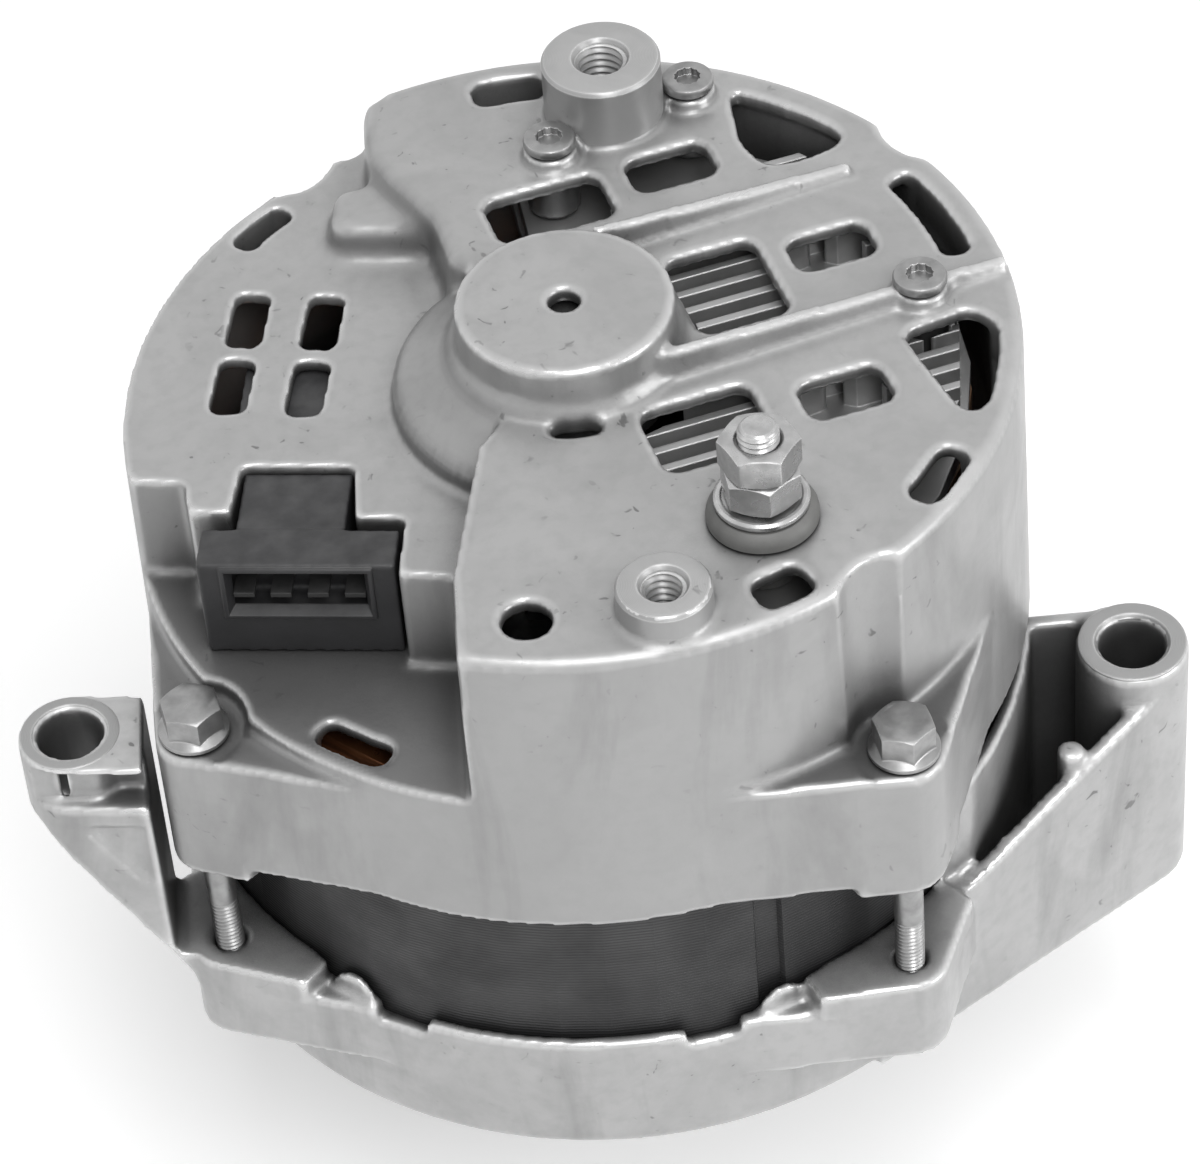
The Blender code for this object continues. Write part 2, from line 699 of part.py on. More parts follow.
def vent_quad(left, front, right, back):
    window = rectangle(left * LAYOUT, front * LAYOUT, right * LAYOUT, back * LAYOUT)
    return rotated(rounded(window, VENT_ROUNDING, 1), VENT_TURN)


def laid(points):
    """Plan points that keep their share of the plate's radius."""
    return [(x * LAYOUT, y * LAYOUT) for x, y in points]


def plate_windows():
    """Cooling windows in the raised plate: a square grid, cut off by the rim on the right."""
    inner = [
        vent_quad(-0.0020, 0.0240, 0.0162, 0.0345), vent_quad(0.0183, -0.0065, 0.0325, 0.0110),
        vent_quad(0.0040, -0.0322, 0.0208, -0.0184),
    ]
    middle = [
        vent_quad(0.0205, 0.0270, 0.0335, 0.0352), vent_quad(0.0365, 0.0006, 0.0490, 0.0083),
        vent_quad(0.0268, -0.0300, 0.0397, -0.0218),
    ]
    rear_edge = rounded(laid([
        (0.0441, 0.0394), *arc((0, 0), 0.0608, 44.3, 62.5, 4), (0.0287, 0.0416),
        (0.0322, 0.0355), (0.0373, 0.0361),
    ]), VENT_ROUNDING, 1)
    front_edge = rounded(laid([
        (0.0483, -0.0045), (0.0503, -0.0102), (0.0553, -0.0226),
        *arc((0, 0), 0.0624, -20.6, -4.0, 4), (0.0586, -0.0006),
    ]), VENT_ROUNDING, 1)
    return inner + middle + [rear_edge, front_edge]


def rim_slots():
    """Slots that follow the plate's rim, each with its inner and outer radius and its span."""
    return [
        slot(laid(band(0.0574, 0.0616, 11.2, 30.4)), 0.0010),
        slot(laid(band(0.0565, 0.0619, 90.0, 100.8, 3)), 0.0012),
        slot(laid(band(0.0587, 0.0637, -40.2, -29.4, 3)), 0.0012),
        slot(laid(band(0.0573, 0.0634, -68.0, -60.2, 2)), 0.0012),
        slot(band(0.0176, 0.0203, -101.0, -78.5, 3), 0.0010),
    ]


def louvres():
    windows = []
    for column in (-0.5, 0.5):
        for row in (-0.5, 0.5):
            window = rectangle(-LOUVRE_SIZE[0] / 2, -LOUVRE_SIZE[1] / 2, LOUVRE_SIZE[0] / 2, LOUVRE_SIZE[1] / 2)
            window = shifted(rounded(window, 0.0009, 1), (column * LOUVRE_PITCH[0], row * LOUVRE_PITCH[1]))
            windows.append(shifted(rotated(window, LOUVRE_TURN), LOUVRE_CENTRE))
    return windows


def plate_rib(start, end, start_height, end_height):
    """A stiffening rib on the raised plate, tapering in height away from the hub."""
    foot, crest, sunk = 0.0017, 0.0007, 0.0010
    points = []
    for (along, across), height in ((start, start_height), (end, end_height)):
        for side, level in ((-foot, -sunk), (foot, -sunk), (-crest, height), (crest, height)):
            x, y = rotated([(along, across + side)], VENT_TURN)[0]
            points.append((x, y, PLATE_TOP + level))
    return hull(points)


def hub_body():
    """The rear bearing's hub with the bell-shaped collar that blends it into the deck."""
    collar_edge = DECK_TOP + COLLAR_RISE
    step = (PLATE_TOP - collar_edge) / 4
    return turned([
        (0.0, HUB_TOP), (HUB_RADIUS - 0.0004, HUB_TOP), (HUB_RADIUS, HUB_TOP - 0.0004),
        (HUB_RADIUS + 0.0003, PLATE_TOP + 0.0026), (HUB_RADIUS + 0.0022, PLATE_TOP - 0.0006),
        (HUB_RADIUS + 0.0060, PLATE_TOP - 2.2 * step), (COLLAR_RADIUS - 0.0010, collar_edge + step / 2),
        (COLLAR_RADIUS, collar_edge - step / 2), (COLLAR_RADIUS, DECK_TOP - 0.0010),
        (BARREL_RADIUS, DECK_TOP - 0.0010), (BARREL_RADIUS, BARREL_LOW),
        (0.0, BARREL_LOW),
    ], 30, closed=False)


def build_slip_ring_end_frame():
    far = HUB_TOP + 0.0220
    frame = turned([
        (0.0, PLATE_TOP), (PLATE_RADIUS - PLATE_EDGE, PLATE_TOP), (PLATE_RADIUS, PLATE_TOP - PLATE_EDGE),
        (CAN_RADIUS, SLIP_RIM), (0.0, SLIP_RIM),
    ], FRAME_FACETS, closed=False)
    for i in range(BOLT_COUNT):
        frame = join(
            frame, prism(lug_outline(i), SLIP_RIM, LUG_TOP),
            prism(lug_outline(i, LUG_FOOT_SPAN), SLIP_RIM - LUG_FOOT_DROP, SLIP_RIM + 0.0020),
        )
    frame = cut(frame, prism(deck_outline(), DECK_TOP, far), prism(pocket_outline(), SHELF_TOP, far))
    bump = rounded(rectangle(-BUMP_SIZE[0] / 2, -BUMP_SIZE[1] / 2, BUMP_SIZE[0] / 2, BUMP_SIZE[1] / 2), 0.0030, 3)
    bump = shifted(rotated(bump, CONNECTOR_TURN), BUMP_CENTRE)
    frame = join(frame, prism(bump, DECK_UNDER + 0.0010, DECK_TOP + BUMP_HEIGHT))
    inside = CAN_RADIUS - SLIP_FRAME_WALL
    under_plate = cut(
        prism(plate_cavity_outline(), DECK_UNDER - 0.0005, PLATE_UNDER),
        cylinder((0, 0), BARREL_RADIUS, BARREL_LOW, PLATE_TOP, 30),
    )
    frame = cut(
        join(frame, hub_body()),
        turned([
            (0.0, SHELF_UNDER), (inside, SHELF_UNDER), (inside, STATOR_TOP + SEAT),
            (REGISTER_RADIUS, STATOR_TOP + SEAT), (REGISTER_RADIUS, SLIP_RIM - 0.0040), (0.0, SLIP_RIM - 0.0040),
        ], FRAME_FACETS, closed=False),
        prism(deck_cavity_outline(), SHELF_UNDER - 0.0005, DECK_UNDER),
        under_plate,
    )
    frame = join(
        frame,
        plate_rib((0.0100, 0.0170), (PLATE_RADIUS - 0.0148, 0.0190), 0.0044, 0.0016),
        plate_rib((0.0040, -0.0130), (PLATE_RADIUS - 0.0015, -0.0100), 0.0052, 0.0018),
        cylinder(REAR_BOSS_CENTRE, REAR_BOSS_RADIUS, REAR_BOSS_TOP - BOSS_HOLE_DEPTH - BOSS_FLOOR, REAR_BOSS_TOP, 26),
        cylinder(FRONT_BOSS_CENTRE, FRONT_BOSS_RADIUS, FRONT_BOSS_TOP - BOSS_HOLE_DEPTH - BOSS_FLOOR, FRONT_BOSS_TOP, 26),
    )
    for centre in SCREW_BOSS_CENTRES:
        frame = join(frame, cylinder(centre, SCREW_BOSS_RADIUS, SINK_TOP + SEAT, PLATE_TOP + SCREW_BOSS_HEIGHT, 14))
    openings = [prism(outline, PLATE_UNDER - 0.0060, far) for outline in plate_windows() + rim_slots()]
    openings += [prism(outline, DECK_UNDER - 0.0060, DECK_TOP + 0.0100) for outline in louvres()]
    openings.append(prism(slot(band(0.0599, 0.0640, 131.5, 141.3, 3), 0.0010), DECK_UNDER - 0.006, DECK_TOP + 0.01))
    openings.append(prism(slot(band(0.0590, 0.0637, -130.8, -119.8, 3), 0.0010), SHELF_UNDER - 0.006, SHELF_TOP + 0.01))
    connector_way = rotated(rectangle(NECK_LEFT + 0.0001, -0.0200, NECK_RIGHT - 0.0001, -0.0100), CONNECTOR_TURN)
    openings.append(prism(connector_way, SHELF_TOP + 0.0020, DECK_UNDER - 0.0004))
    frame = cut(frame, *openings)
    for i in range(BOLT_COUNT):
        frame = cut(
            frame,
            cylinder(bolt_point(i), ACCESS_GROOVE_RADIUS - ACCESS_GROOVE_DRAFT, LUG_TOP - SPOT_FACE_DEPTH, far, 20,
                     top_radius=ACCESS_GROOVE_RADIUS + ACCESS_GROOVE_DRAFT / 2),
            cylinder(bolt_point(i), BOLT_RADIUS + SEAT * 2, SLIP_RIM - 0.0100, LUG_TOP + 0.0010, 10),
        )
    bore = REAR_CUP_RADIUS + SEAT
    frame = cut(
        frame,
        cylinder((0, 0), bore, BARREL_LOW - 0.0010, REAR_CUP_TOP + SEAT, 24),
        cylinder((0, 0), HUB_HOLE_RADIUS, REAR_CUP_TOP - 0.0010, far, 14),
        cylinder(REAR_BOSS_CENTRE, REAR_BOSS_THREAD_RADIUS, REAR_BOSS_TOP - BOSS_HOLE_DEPTH, far, 18),
        cylinder(FRONT_BOSS_CENTRE, FRONT_BOSS_THREAD_RADIUS, FRONT_BOSS_TOP - BOSS_HOLE_DEPTH, far, 18),
        cylinder(PLAIN_HOLE_CENTRE, PLAIN_HOLE_RADIUS, PLATE_UNDER - 0.0010, far, 16),
        cylinder(STUD_CENTRE, INSULATOR_SLEEVE_RADIUS + SEAT, PLATE_UNDER - 0.0010, far, 16),
    )
    for centre in SCREW_BOSS_CENTRES:
        frame = cut(
            frame, cylinder(centre, SCREW_RADIUS + SEAT, SINK_LOW, far, 8),
            cylinder(centre, SCREW_HEAD_RADIUS + 0.0006, PLATE_TOP + SCREW_BOSS_HEIGHT, far, 14),
        )
    return finish(frame, "slip_ring_end_frame", "cast_aluminium")


# Drive end frame: a shallow die-cast cup with the front bearing's hub, cooling windows, four
# threaded lugs, the hollow mounting foot on the right and the adjusting ear on the left

def foot_tangent():
    """Angle of the normal of the flat that runs from the cup's wall to the foot's boss."""
    distance = math.hypot(*FOOT_CENTRE)
    middle = math.degrees(math.atan2(FOOT_CENTRE[1], FOOT_CENTRE[0]))
    return middle - math.degrees(math.acos((CAN_RADIUS - FOOT_RADIUS) / distance))


def along_front_wall(distance, inset):
    """A plan point on the foot's front wall, so far along it and so far in from its face."""
    normal = foot_tangent()
    return tuple(Vector(polar(CAN_RADIUS - inset, normal)) + Vector(polar(distance, normal + 90.0)))


def foot_bodies():
    normal = foot_tangent()
    back = FOOT_CENTRE[1] + FOOT_RADIUS
    start = polar(CAN_RADIUS, normal)
    outline = [start, *arc(FOOT_CENTRE, FOOT_RADIUS, normal, 90.0, 8), (0.0600, back), (0.0300, -0.0300)]
    arm = prism(outline, DRIVE_FACE, FOOT_TOP - FOOT_BOSS_STANDOUT)
    reach = math.sqrt(CAN_RADIUS ** 2 - (CAN_RADIUS - ARM_WALL) ** 2)
    length = (Vector(FOOT_CENTRE) - Vector(polar(CAN_RADIUS, normal))).length
    hollow = [
        along_front_wall(reach, ARM_WALL), along_front_wall(length - 0.0010, ARM_WALL), FOOT_CENTRE,
        (FOOT_CENTRE[0], back - ARM_WALL), (math.sqrt(CAN_RADIUS ** 2 - (back - ARM_WALL) ** 2), back - ARM_WALL),
        *arc((0, 0), CAN_RADIUS, -12.0, math.degrees(math.atan2(*reversed(along_front_wall(reach, ARM_WALL)))) + 4.0, 5),
    ]
    arm = cut(arm, prism(hollow, DRIVE_FACE + ARM_FLOOR, FOOT_TOP + 0.0100))
    low, high = DRIVE_FACE + ARM_FRONT_WALL_LOW, DRIVE_FACE + ARM_FRONT_WALL_HIGH
    above = FOOT_TOP + 0.0200
    slope = []
    for depth in (-0.0020, ARM_WALL + 0.0010):
        for distance, level in ((-0.0200, low), (reach, low), (length - 0.0030, high), (length + 0.0150, high),
                                (length + 0.0150, above), (-0.0200, above)):
            slope.append((*along_front_wall(distance, depth), level))
    arm = cut(arm, hull_of_ring(slope))
    stub = along_front_wall(length * 0.70, ARM_WALL + 0.0008)
    return join(
        arm,
        cylinder(FOOT_CENTRE, FOOT_RADIUS, DRIVE_FACE, FOOT_TOP, 24),
        cylinder(stub, ARM_STUB_RADIUS, DRIVE_FACE + 0.0010, DRIVE_FACE + 0.0392, 10),
    )


def hull_of_ring(points):
    """A slab whose two faces are the same outline: the first half of the points, then the second."""
    half = len(points) // 2
    shape = bmesh.new()
    verts = [shape.verts.new(point) for point in points]
    near = shape.faces.new(verts[:half])
    far = shape.faces.new(verts[half:])
    bmesh.ops.bridge_loops(shape, edges=list(near.edges) + list(far.edges))
    bmesh.ops.recalc_face_normals(shape, faces=shape.faces)
    mesh = bpy.data.meshes.new("slab")
    shape.to_mesh(mesh)
    shape.free()
    return add_tool(mesh)


def ear_point(along, across):
    return shifted(rotated([(along, across)], EAR_TURN), EAR_CENTRE)[0]


def ear_body():
    """The adjusting ear: a flat tab above, carried by a web that slopes down to the cup."""
    inboard = bolt_point(3)[0] - LUG_RADIUS - EAR_CLEARANCE
    outer = EAR_CENTRE[0] - EAR_RADIUS - 0.0030
    web_foot = DRIVE_FACE + 0.0120
    round_end = arc((0, 0), EAR_RADIUS, 90.0, 270.0, 10)
    plan = shifted(rotated(round_end + [(0.0200, -EAR_RADIUS), (0.0200, EAR_RADIUS)], EAR_TURN), EAR_CENTRE)
    ear = prism(plan, web_foot, EAR_TOP)
    side = [
        (outer, EAR_TOP + 0.0010), (inboard, EAR_TOP + 0.0010), (inboard, DRIVE_LUG_TOP),
        (inboard + 0.0100, DRIVE_LUG_TOP), (inboard + 0.0100, web_foot), (inboard + 0.0050, web_foot),
        (inboard + 0.0016, DRIVE_FACE + 0.0250), (EAR_CENTRE[0] - EAR_RADIUS + 0.0016, EAR_LOW), (outer, EAR_LOW),
    ]
    profile = prism(side, -0.0600, 0.0000)
    profile = move(profile, Matrix.Rotation(math.radians(90.0), 4, "X"))
    profile = move(profile, Matrix.Translation((0.0, -0.0600, 0.0)))
    ear = shared(ear, profile)
    band_top, band_low = EAR_TOP - EAR_FLANGE, EAR_TOP - EAR_FLANGE - EAR_BAND_HEIGHT
    front = -EAR_RADIUS
    recess = [ear_point(-0.0062, front - 0.0040), ear_point(0.0140, front - 0.0040),
              ear_point(0.0140, front + 2.2 * EAR_BAND_DEPTH), ear_point(0.0068, front + 2.0 * EAR_BAND_DEPTH),
              ear_point(0.0040, front + EAR_BAND_DEPTH), ear_point(-0.0062, front + EAR_BAND_DEPTH)]
    panel = [(0.0012, -0.0118), (0.0105, -0.0118), (0.0105, -0.0262)]
    panel_points = []
    for depth in (-0.0020, 0.0009):
        for along, drop in panel:
            panel_points.append((*ear_point(along, front + depth), EAR_TOP + drop))
    return cut(
        ear, prism(recess, band_low, band_top), hull(panel_points),
        cylinder(EAR_CENTRE, EAR_BORE_RADIUS, EAR_LOW - 0.0200, EAR_TOP + 0.0050, 20),
    )


def rim_pad(angle):
    """A half-round tab that stands on the rim, set back a little from its outer edge."""
    points = []
    for radius in (REGISTER_RADIUS + 0.0001, CAN_RADIUS - 0.0006):
        for along, rise in arc((0, 0), RIM_PAD_RADIUS, 0.0, 180.0, 8) + [(-RIM_PAD_RADIUS, -0.0010), (RIM_PAD_RADIUS, -0.0010)]:
            x, y = rotated([(radius, along)], angle)[0]
            points.append((x, y, DRIVE_RIM + rise))
    return hull(points)


def build_drive_end_frame():
    draft = 0.0005
    frame = turned([
        (0.0, DRIVE_RIM), (CAN_RADIUS, DRIVE_RIM), (CAN_RADIUS - draft, DRIVE_FACE + DRIVE_BASE_CHAMFER),
        (CAN_RADIUS - draft - DRIVE_BASE_CHAMFER, DRIVE_FACE), (0.0, DRIVE_FACE),
    ], FRAME_FACETS, closed=False)
    for i in range(BOLT_COUNT):
        frame = join(
            frame, prism(lug_outline(i), DRIVE_LUG_TOP - DRIVE_LUG_DEPTH, DRIVE_RIM),
            prism(lug_outline(i, DRIVE_LUG_SPAN), DRIVE_RIM - 0.0010, DRIVE_LUG_TOP),
        )
    for angle in RIM_PAD_ANGLES:
        frame = join(frame, rim_pad(angle))
    frame = join(frame, foot_bodies(), ear_body())
    inside = CAN_RADIUS - FRAME_WALL
    bearing_bore = BEARING_OUTER_RADIUS + SEAT
    open_top = FOOT_TOP + 0.0100
    hollow = turned([
        (0.0, open_top), (REGISTER_RADIUS, open_top), (REGISTER_RADIUS, STATOR_LOW - SEAT),
        (inside, STATOR_LOW - SEAT), (inside - draft, DRIVE_FLOOR), (0.0, DRIVE_FLOOR),
    ], FRAME_FACETS, closed=False)
    frame = join(
        cut(frame, hollow),
        cylinder((0, 0), DRIVE_HUB_RADIUS + draft, DRIVE_FLOOR - 0.0010, DRIVE_HUB_TOP, 30, top_radius=DRIVE_HUB_RADIUS),
    )
    frame = cut(
        frame,
        cylinder((0, 0), bearing_bore, BEARING_LOW - SEAT, DRIVE_HUB_TOP + 0.0010, 28),
        cylinder((0, 0), SHAFT_HOLE_RADIUS, DRIVE_FACE - 0.0020, BEARING_LOW, 18),
    )
    tools = []
    for i in range(DRIVE_VENT_COUNT):
        middle = 360.0 / DRIVE_VENT_COUNT * (i + 0.5)
        window = band(DRIVE_VENT_INNER, DRIVE_VENT_OUTER, middle - DRIVE_VENT_SPAN / 2, middle + DRIVE_VENT_SPAN / 2, 2)
        tools.append(prism(window, DRIVE_FACE - 0.0020, DRIVE_FLOOR + 0.0020))
    for angle in RIM_NOTCH_ANGLES:
        half = RIM_NOTCH_WIDTH / 2
        notch = rotated(rectangle(REGISTER_RADIUS - 0.0030, -half, CAN_RADIUS + 0.0030, half), angle)
        tools.append(prism(notch, DRIVE_RIM - RIM_NOTCH_DEPTH, DRIVE_RIM + 0.0100))
    for i in range(BOLT_COUNT):
        tools.append(cylinder(bolt_point(i), BOLT_RADIUS + SEAT, DRIVE_LUG_TOP - DRIVE_LUG_DEPTH - 0.0020,
                              DRIVE_LUG_TOP + 0.0020, 10))
    for angle in retainer_angles():
        hole = polar(RETAINER_SCREW_CIRCLE, angle)
        tools.append(cylinder(hole, RETAINER_SCREW_RADIUS + SEAT, DRIVE_HUB_TOP - RETAINER_SCREW_LENGTH, DRIVE_HUB_TOP + 0.001, 6))
    tools.append(cylinder(FOOT_CENTRE, FOOT_BORE_RADIUS, DRIVE_FACE - 0.0020, FOOT_TOP + 0.0020, 20))
    return finish(cut(frame, *tools), "drive_end_frame", "cast_aluminium")


def retainer_angles():
    return [30.0, 150.0, 270.0]


# Stator

def stator_outline():
    """The outer edge of the laminations, with a shallow weld groove at each quarter."""
    points = []
    half = math.degrees(STATOR_GROOVE_WIDTH / 2 / STATOR_RADIUS)
    span = 360.0 / STATOR_GROOVE_COUNT
    for i in range(STATOR_GROOVE_COUNT):
        middle = STATOR_GROOVE_ANGLE + span * i
        points += arc((0, 0), STATOR_RADIUS - STATOR_GROOVE_DEPTH, middle - half + 0.4, middle + half - 0.4, 1)
        points += arc((0, 0), STATOR_RADIUS, middle + half, middle + span - half, 13)
    return points


def slot_outline():
    """The bore of the laminations, with its open slots."""
    points = []
    for i in range(SLOT_COUNT):
        middle = 360.0 / SLOT_COUNT * i
        for radius, side in ((STATOR_BORE, -1), (SLOT_BOTTOM, -1), (SLOT_BOTTOM, 1), (STATOR_BORE, 1)):
            half = math.degrees(math.asin(SLOT_WIDTH / 2 / radius))
            points.append(polar(radius, middle + side * half))
    return points


def build_stator_core():
    core = prism(stator_outline(), STATOR_LOW, STATOR_TOP, holes=(slot_outline(),))
    return finish(core, "stator_core", "lamination_steel", 25.0)


def end_turn(near, far):
    """One ring of coil ends. Its near side is flat on the laminations, its far side is rounded."""
    r = math.copysign(END_TURN_ROUNDING, far - near)
    outer_side = [(END_TURN_OUTER - abs(r), far), (END_TURN_OUTER, far - r), (END_TURN_OUTER, near)]
    inner_side = [(END_TURN_INNER, near), (END_TURN_INNER, far - r), (END_TURN_INNER + abs(r), far)]
    return turned(outer_side + inner_side, 18)


def build_stator_winding():
    low, high = STATOR_LOW - SEAT, STATOR_TOP + SEAT
    winding = end_turn(high, high + END_TURN_HEIGHT)
    bars = bmesh.new()
    width = SLOT_WIDTH - 2 * SEAT - 0.0004
    outer, inner = SLOT_BOTTOM - SEAT, END_TURN_INNER + 0.0010
    for i in range(SLOT_COUNT):
        made = bmesh.ops.create_cube(bars, size=1.0)["verts"]
        bmesh.ops.scale(bars, verts=made, vec=(outer - inner, width, high - low + 0.0040))
        bmesh.ops.translate(bars, verts=made, vec=((outer + inner) / 2, 0.0, (high + low) / 2))
        spin = Matrix.Rotation(2 * math.pi * i / SLOT_COUNT, 3, "Z")
        bmesh.ops.rotate(bars, verts=made, cent=(0, 0, 0), matrix=spin)
    mesh = bpy.data.meshes.new("bars")
    bars.to_mesh(mesh)
    bars.free()
    winding = join(winding, add_tool(mesh), end_turn(low, low - END_TURN_HEIGHT))
    return finish(winding, "stator_winding", "copper")


# Front bearing

def race_radius():
    return (BEARING_OUTER_RADIUS + SHAFT_RADIUS) / 2


def groove(side, steps=4):
    """The ball track of a race, top to bottom. Side is 1 for the outer race and -1 for the inner."""
    radius = BALL_RADIUS + RUNNING
    edge = BEARING_OUTER_RADIUS - BEARING_RACE_WALL if side > 0 else SHAFT_RADIUS + SEAT + BEARING_RACE_WALL
    reach = math.degrees(math.acos(max(0.0, (edge - race_radius()) * side) / radius))
    middle = (BEARING_LOW + BEARING_TOP) / 2
    angles = [reach - 2 * reach * i / steps for i in range(steps + 1)]
    return [(race_radius() + side * radius * math.cos(math.radians(a)), middle + radius * math.sin(math.radians(a)))
            for a in angles]


def build_front_bearing():
    outer_face = BEARING_OUTER_RADIUS - BEARING_RACE_WALL
    inner_face = SHAFT_RADIUS + SEAT + BEARING_RACE_WALL
    outer = turned([
        (BEARING_OUTER_RADIUS, BEARING_TOP), (BEARING_OUTER_RADIUS, BEARING_LOW), (outer_face, BEARING_LOW),
        *reversed(groove(1)), (outer_face, BEARING_TOP),
    ], 22)
    finish(outer, "front_bearing_outer_race", "bearing_steel")
    inner = turned([
        (inner_face, BEARING_TOP), *groove(-1), (inner_face, BEARING_LOW),
        (SHAFT_RADIUS + SEAT, BEARING_LOW), (SHAFT_RADIUS + SEAT, BEARING_TOP),
    ], 20)
    finish(inner, "front_bearing_inner_race", "bearing_steel")
    middle = (BEARING_LOW + BEARING_TOP) / 2
    wall = 0.0010
    cage = turned([
        (race_radius() + wall, middle + BALL_CAGE_HEIGHT / 2), (race_radius() + wall, middle - BALL_CAGE_HEIGHT / 2),
        (race_radius() - wall, middle - BALL_CAGE_HEIGHT / 2), (race_radius() - wall, middle + BALL_CAGE_HEIGHT / 2),
    ], 2 * BALL_COUNT)
    for i in range(BALL_COUNT):
        ball = bmesh.new()
        bmesh.ops.create_uvsphere(ball, u_segments=6, v_segments=4, radius=BALL_RADIUS)
        x, y = polar(race_radius(), 360.0 / BALL_COUNT * i)
        bmesh.ops.translate(ball, verts=ball.verts, vec=(x, y, middle))
        mesh = bpy.data.meshes.new("ball")
        ball.to_mesh(mesh)
        ball.free()
        cage = join(cage, add_tool(mesh))
    set_origin(finish(cage, "front_bearing_ball_cage", "bearing_steel"), (0.0, 0.0, middle))


def build_bearing_retainer():
    low = DRIVE_HUB_TOP + SEAT
    inner = BEARING_OUTER_RADIUS - BEARING_RACE_WALL + 0.0010
    holes = [circle(polar(RETAINER_SCREW_CIRCLE, a), RETAINER_SCREW_RADIUS + SEAT, 6) for a in retainer_angles()]
    plate = prism(circle((0, 0), DRIVE_HUB_RADIUS - 0.0003, 24), low, low + RETAINER_THICKNESS,
                  holes=[circle((0, 0), inner, 16), *holes])
    finish(plate, "bearing_retainer_plate", "zinc_steel")
    seat = low + RETAINER_THICKNESS + SEAT
    for i, angle in enumerate(retainer_angles()):
        screw = turned([
            (0.0, seat + RETAINER_HEAD_HEIGHT), (RETAINER_HEAD_RADIUS - 0.0008, seat + RETAINER_HEAD_HEIGHT),
            (RETAINER_HEAD_RADIUS, seat + 0.0006), (RETAINER_HEAD_RADIUS, seat), (RETAINER_SCREW_RADIUS, seat),
            (RETAINER_SCREW_RADIUS, DRIVE_HUB_TOP - RETAINER_SCREW_LENGTH + 0.0010),
            (0.0, DRIVE_HUB_TOP - RETAINER_SCREW_LENGTH + 0.0010),
        ], 8, closed=False)
        move(screw, Matrix.Translation((*polar(RETAINER_SCREW_CIRCLE, angle), 0.0)))
        finish(screw, f"retainer_screw_{i + 1}", "zinc_steel")


# Through bolts

def build_through_bolts():
    seat = LUG_TOP - SPOT_FACE_DEPTH + SEAT
    flange_top = seat + BOLT_FLANGE_THICKNESS
    end = DRIVE_LUG_TOP - BOLT_INTO_DRIVE_LUG
    for i in range(BOLT_COUNT):
        bolt = turned([
            (0.0, flange_top), (BOLT_FLANGE_RADIUS - 0.0006, flange_top), (BOLT_FLANGE_RADIUS, seat + 0.0004),
            (BOLT_FLANGE_RADIUS, seat), (BOLT_RADIUS, seat), (BOLT_RADIUS, end + 0.0006),
            (BOLT_RADIUS - 0.0006, end), (0.0, end),
        ], 10, closed=False)
        head = spun(prism(hexagon(BOLT_HEAD_FLATS), flange_top - 0.0004, flange_top + BOLT_HEAD_HEIGHT), 12.0 * i)
        bolt = join(bolt, head)
        move(bolt, Matrix.Translation((*bolt_point(i), 0.0)))
        finish(bolt, f"through_bolt_{i + 1}", "zinc_steel", 30.0)


# Rotor: shaft, claw-pole halves, field coil, fans, slip rings, pulley and nut

def build_shaft():
    slip_low = SLIP_RINGS_LOW - 0.0040
    shaft = turned([
        (0.0, SHAFT_TOP), (REAR_JOURNAL_RADIUS - 0.0006, SHAFT_TOP), (REAR_JOURNAL_RADIUS, SHAFT_TOP - 0.0006),
        (REAR_JOURNAL_RADIUS, BARREL_LOW - 0.0010), (SLIP_SEAT_RADIUS, BARREL_LOW - 0.0020),
        (SLIP_SEAT_RADIUS, slip_low), (ROTOR_SEAT_RADIUS, slip_low - 0.0020), (ROTOR_SEAT_RADIUS, ROTOR_LOW - SEAT),
        (SHAFT_SHOULDER_RADIUS, ROTOR_LOW - SEAT), (SHAFT_SHOULDER_RADIUS, BEARING_TOP + SEAT),
        (SHAFT_RADIUS, BEARING_TOP + SEAT), (SHAFT_RADIUS, PULLEY_LOW + 0.0012), (SHAFT_THREAD_RADIUS, PULLEY_LOW + 0.0006),
        (SHAFT_THREAD_RADIUS, 0.0010), (SHAFT_THREAD_RADIUS - 0.0010, 0.0), (0.0, 0.0),
    ], 16, closed=False)
    finish(shaft, "rotor_shaft", "bearing_steel")


def pole_half():
    """One claw-pole half, its disc below and its fingers pointing up, with its disc face at z = 0."""
    outline = []
    span = 360.0 / POLE_PAIRS
    for i in range(POLE_PAIRS):
        middle = span * i
        outline += arc((0, 0), ROTOR_RADIUS, middle - POLE_ROOT_HALF_ANGLE, middle + POLE_ROOT_HALF_ANGLE, 2)
        outline += arc((0, 0), POLE_VALLEY_RADIUS, middle + 0.33 * span, middle + 0.67 * span, 1)
    half = prism(outline, 0.0, POLE_DISC_THICKNESS)
    core_top = ROTOR_LENGTH / 2 - SEAT / 2
    half = join(half, cylinder((0, 0), POLE_CORE_RADIUS, POLE_DISC_THICKNESS - 0.0010, core_top, 18))
    tip = ROTOR_LENGTH - POLE_TIP_SHORTFALL
    root = POLE_DISC_THICKNESS / 2
    levels = (
        (root, POLE_ROOT_HALF_ANGLE - 0.5, POLE_ROOT_DEPTH), (tip, POLE_TIP_HALF_ANGLE, POLE_TIP_DEPTH),
    )
    surface = ROTOR_RADIUS - 0.0002
    for i in range(POLE_PAIRS):
        points = []
        for level, spread, depth in levels:
            outer = arc((0, 0), surface, -spread, spread, 2)
            inner = arc((0, 0), surface - depth, -spread, spread, 1)
            points += [(x, y, level) for x, y in outer + inner]
        half = join(half, spun(hull(points), span * i))
    return cut(half, cylinder((0, 0), ROTOR_SEAT_RADIUS + SEAT, -0.0010, ROTOR_LENGTH, 18))


